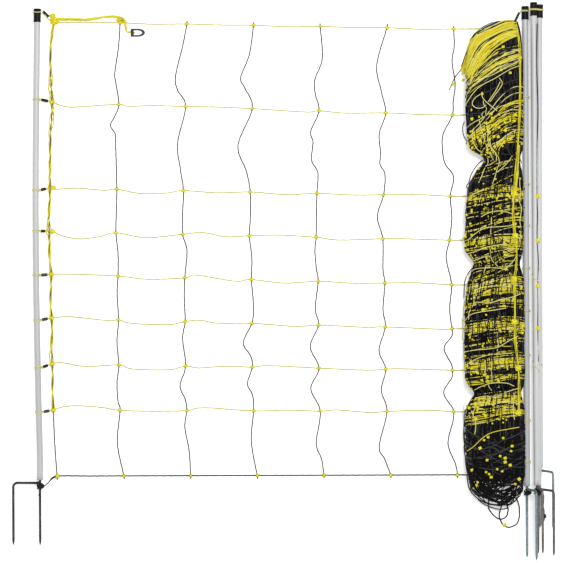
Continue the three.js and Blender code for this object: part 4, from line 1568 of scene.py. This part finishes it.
# Knots: gathered at each row, thick on the left edge, strewn between
def strewn_knots():
    """Places and sizes of the knots of the gathered rows, and of some between them."""
    chance = np.random.default_rng(91)
    places, sizes = [], []
    for level, depth, rise, bow, count in ROW_BANDS:
        for _ in range(int(count * 1.1)):
            angle = chance.uniform(0.35, 3.1)
            y = net_y(level + chance.normal(0, 0.6) * depth) - rise * PHOTO_SCALE * math.cos(angle) * -0.4
            places.append(on_skin(y, angle, chance.uniform(1.5, 4.2)))
            sizes.append(chance.uniform(0.45, 0.8))
        for _ in range(int(count * 0.35)):
            angle = chance.normal(2.75, 0.22)
            y = net_y(level + rise * 0.4 + chance.normal(0, 0.8) * depth)
            places.append(on_skin(y, angle, chance.uniform(1.0, 3.5)))
            sizes.append(chance.uniform(0.5, 0.85))
    for _ in range(70):
        angle = chance.uniform(0.4, 2.9)
        places.append(on_skin(net_y(chance.uniform(85, 425)), angle, chance.uniform(1.0, 3.0)))
        sizes.append(chance.uniform(0.35, 0.6))
    return places, sizes


knot_places, knot_sizes = strewn_knots()
knots("gathered_knots", knot_places, knot_sizes, seed=92)
BIG_KNOTS = [(514, 194), (515, 236), (514, 279), (514, 322), (518, 368), (518, 413)]
LOW_KNOTS = [
    (500, 456), (505, 458), (510, 465), (497, 469), (502, 471), (489, 474), (491, 477), (477, 485),
    (474, 488), (519, 479), (487, 460), (472, 470), (480, 448), (484, 440), (488, 437), (503, 438),
    (512, 446), (486, 472), (468.5, 469), (515, 484), (478, 482), (511, 451), (505, 462),
]
LOBE_KNOTS = [
    (503, 47), (520, 58), (505, 54), (501, 70), (510, 73), (496, 64), (482, 94), (478, 36),
    (505, 24), (486, 36), (466, 76), (463, 80), (468, 84), (453.3, 84), (492, 118), (515, 115),
    (514, 121), (484, 130), (498, 137), (480, 141), (490, 153), (487, 150), (472, 148),
]


def lying_knots(name, places_px, low, high, lift, seed):
    """Knots laid on the hank at places of the photograph, of sizes between two."""
    chance = np.random.default_rng(seed)
    places = []
    for x, y in places_px:
        place = at_px(x, y, HANK_FRONT)
        place = at_px(x, y, hank_top(place[0], place[1]) or 6 * MM)
        place[2] += lift * MM
        places.append(place)
    knots(name, places, chance.uniform(low, high, len(places)), seed=seed)


lying_knots("side_wire_knots", BIG_KNOTS, 1.35, 1.5, 6.0, 93)
lying_knots("folded_knots", LOW_KNOTS, 0.55, 0.85, 4.0, 94)
lying_knots("lobe_knots", LOBE_KNOTS, 0.55, 0.85, 6.0, 95)
loop_knot = drawn(NET_END + 127, -119, FLOOR_CORD + 1.5)
knots("loop_knot", [loop_knot], [1.0], seed=96)
tail_knot = drawn(NET_END + 221.5, -98, FLOOR_CORD + 0.2)
knots("tail_knot", [tail_knot], [1.15], BLACK_SLEEVE, seed=97)

# Wires round the hank's own posts
post_ring_lines = []
for px in (95, 183, 225, 268, 311, 356, 422, 464):
    y = net_y(px)
    for step in (-0.8, 0.8):
        ring = post_loop(2, y + step * MM, 2.5 * MM * step, gap=0)
        post_ring_lines.append(smooth_line(ring, 1.5 * MM))
for high_px, low_px, post in ((268, 283, 5), (355, 372, 5), (356, 366, 4)):
    high, low = net_y(high_px), net_y(low_px)
    ring = post_loop(post, (high + low) / 2, high - low, gap=0)
    post_ring_lines.append(smooth_line(ring, 1.5 * MM))
strands("hank_post_ties", post_ring_lines, 0.95 * MM, LIVE_PALE, sides=6)


def groove_place(px, lift=0.0):
    """In the groove over the two upper posts."""
    y = net_y(px)
    right, left = on_post(4, y), on_post(5, y)
    middle = (right + left) / 2
    return np.array([middle[0], y, max(right[2], left[2]) + TUBE_RADIUS * 0.75 + lift * MM])


GROOVE_STRAND = (22, 60, 110, 150, 195, 215, 240, 262, 286, 305, 328, 350, 362)
groove_line = smooth_line(
    [groove_place(px, 0.8 * math.sin(px)) + mm(1.6 * math.sin(px * 0.7), 0, 0) for px in GROOVE_STRAND],
    3 * MM,
)
strands("groove_strand", [groove_line], 1.6 * MM, BLACK_CORD, sides=6, lobes=3)
knots("groove_knots", [groove_place(px, 1.5) for px in (195.5, 240, 286, 328.5)], [1.15] * 4, seed=98)

# Wire over the hank's caps, and the sleeve on it
CAP_WIRE_LEVEL = 1112
CAP_WIRE_REACH = 10.6 * MM


def over_cap(post, angles):
    """Places of the wire round a post's cap, at angles from the right."""
    level = drawn(0, CAP_WIRE_LEVEL, 0)[1]
    centre = on_post(post, level)
    centre[1] = level
    turns = [math.radians(angle) for angle in angles]
    return [centre + CAP_WIRE_REACH * np.array([math.cos(a), 0, math.sin(a)]) for a in turns]


cap_line = smooth_line(
    [
        drawn(NET_END + 132, 1062, 18),
        drawn(NET_END + 140, 1070, 16),
        drawn(NET_END + 154, 1096, 14),
        *over_cap(2, [180, 135, 90, 45]),
        *over_cap(5, [180, 135, 90, 45]),
        *over_cap(4, [90, 45, 0]),
    ],
    2 * MM,
)
strands(
    "cap_wire_strand",
    [cap_line, cap_line + mm(0.4, 1.9, 0.6)],
    1.0 * MM,
    LIVE_PALE,
    sides=7,
    lobes=3,
    node="cap_wire",
)
CAP_SLEEVE = (drawn(NET_END + 150, 1086, 17), drawn(NET_END + 161, 1109, 17))


def make_cap_sleeve():
    start, end = CAP_SLEEVE
    length = np.linalg.norm(end - start)
    select_only()
    bpy.ops.mesh.primitive_cylinder_add(vertices=24, radius=1, depth=length, location=(0, 0, length / 2))
    sleeve = bpy.context.object
    sleeve.name = "cap_wire_sleeve"
    sleeve.scale = (2.8 * MM, 3.4 * MM, 1)
    bpy.ops.object.transform_apply(location=True, rotation=False, scale=True)
    round_edges(sleeve, 0.8 * MM, 3)
    shade(sleeve)
    lay_along(sleeve, start, end)
    finish_piece(sleeve, BLACK_SLEEVE)


make_cap_sleeve()
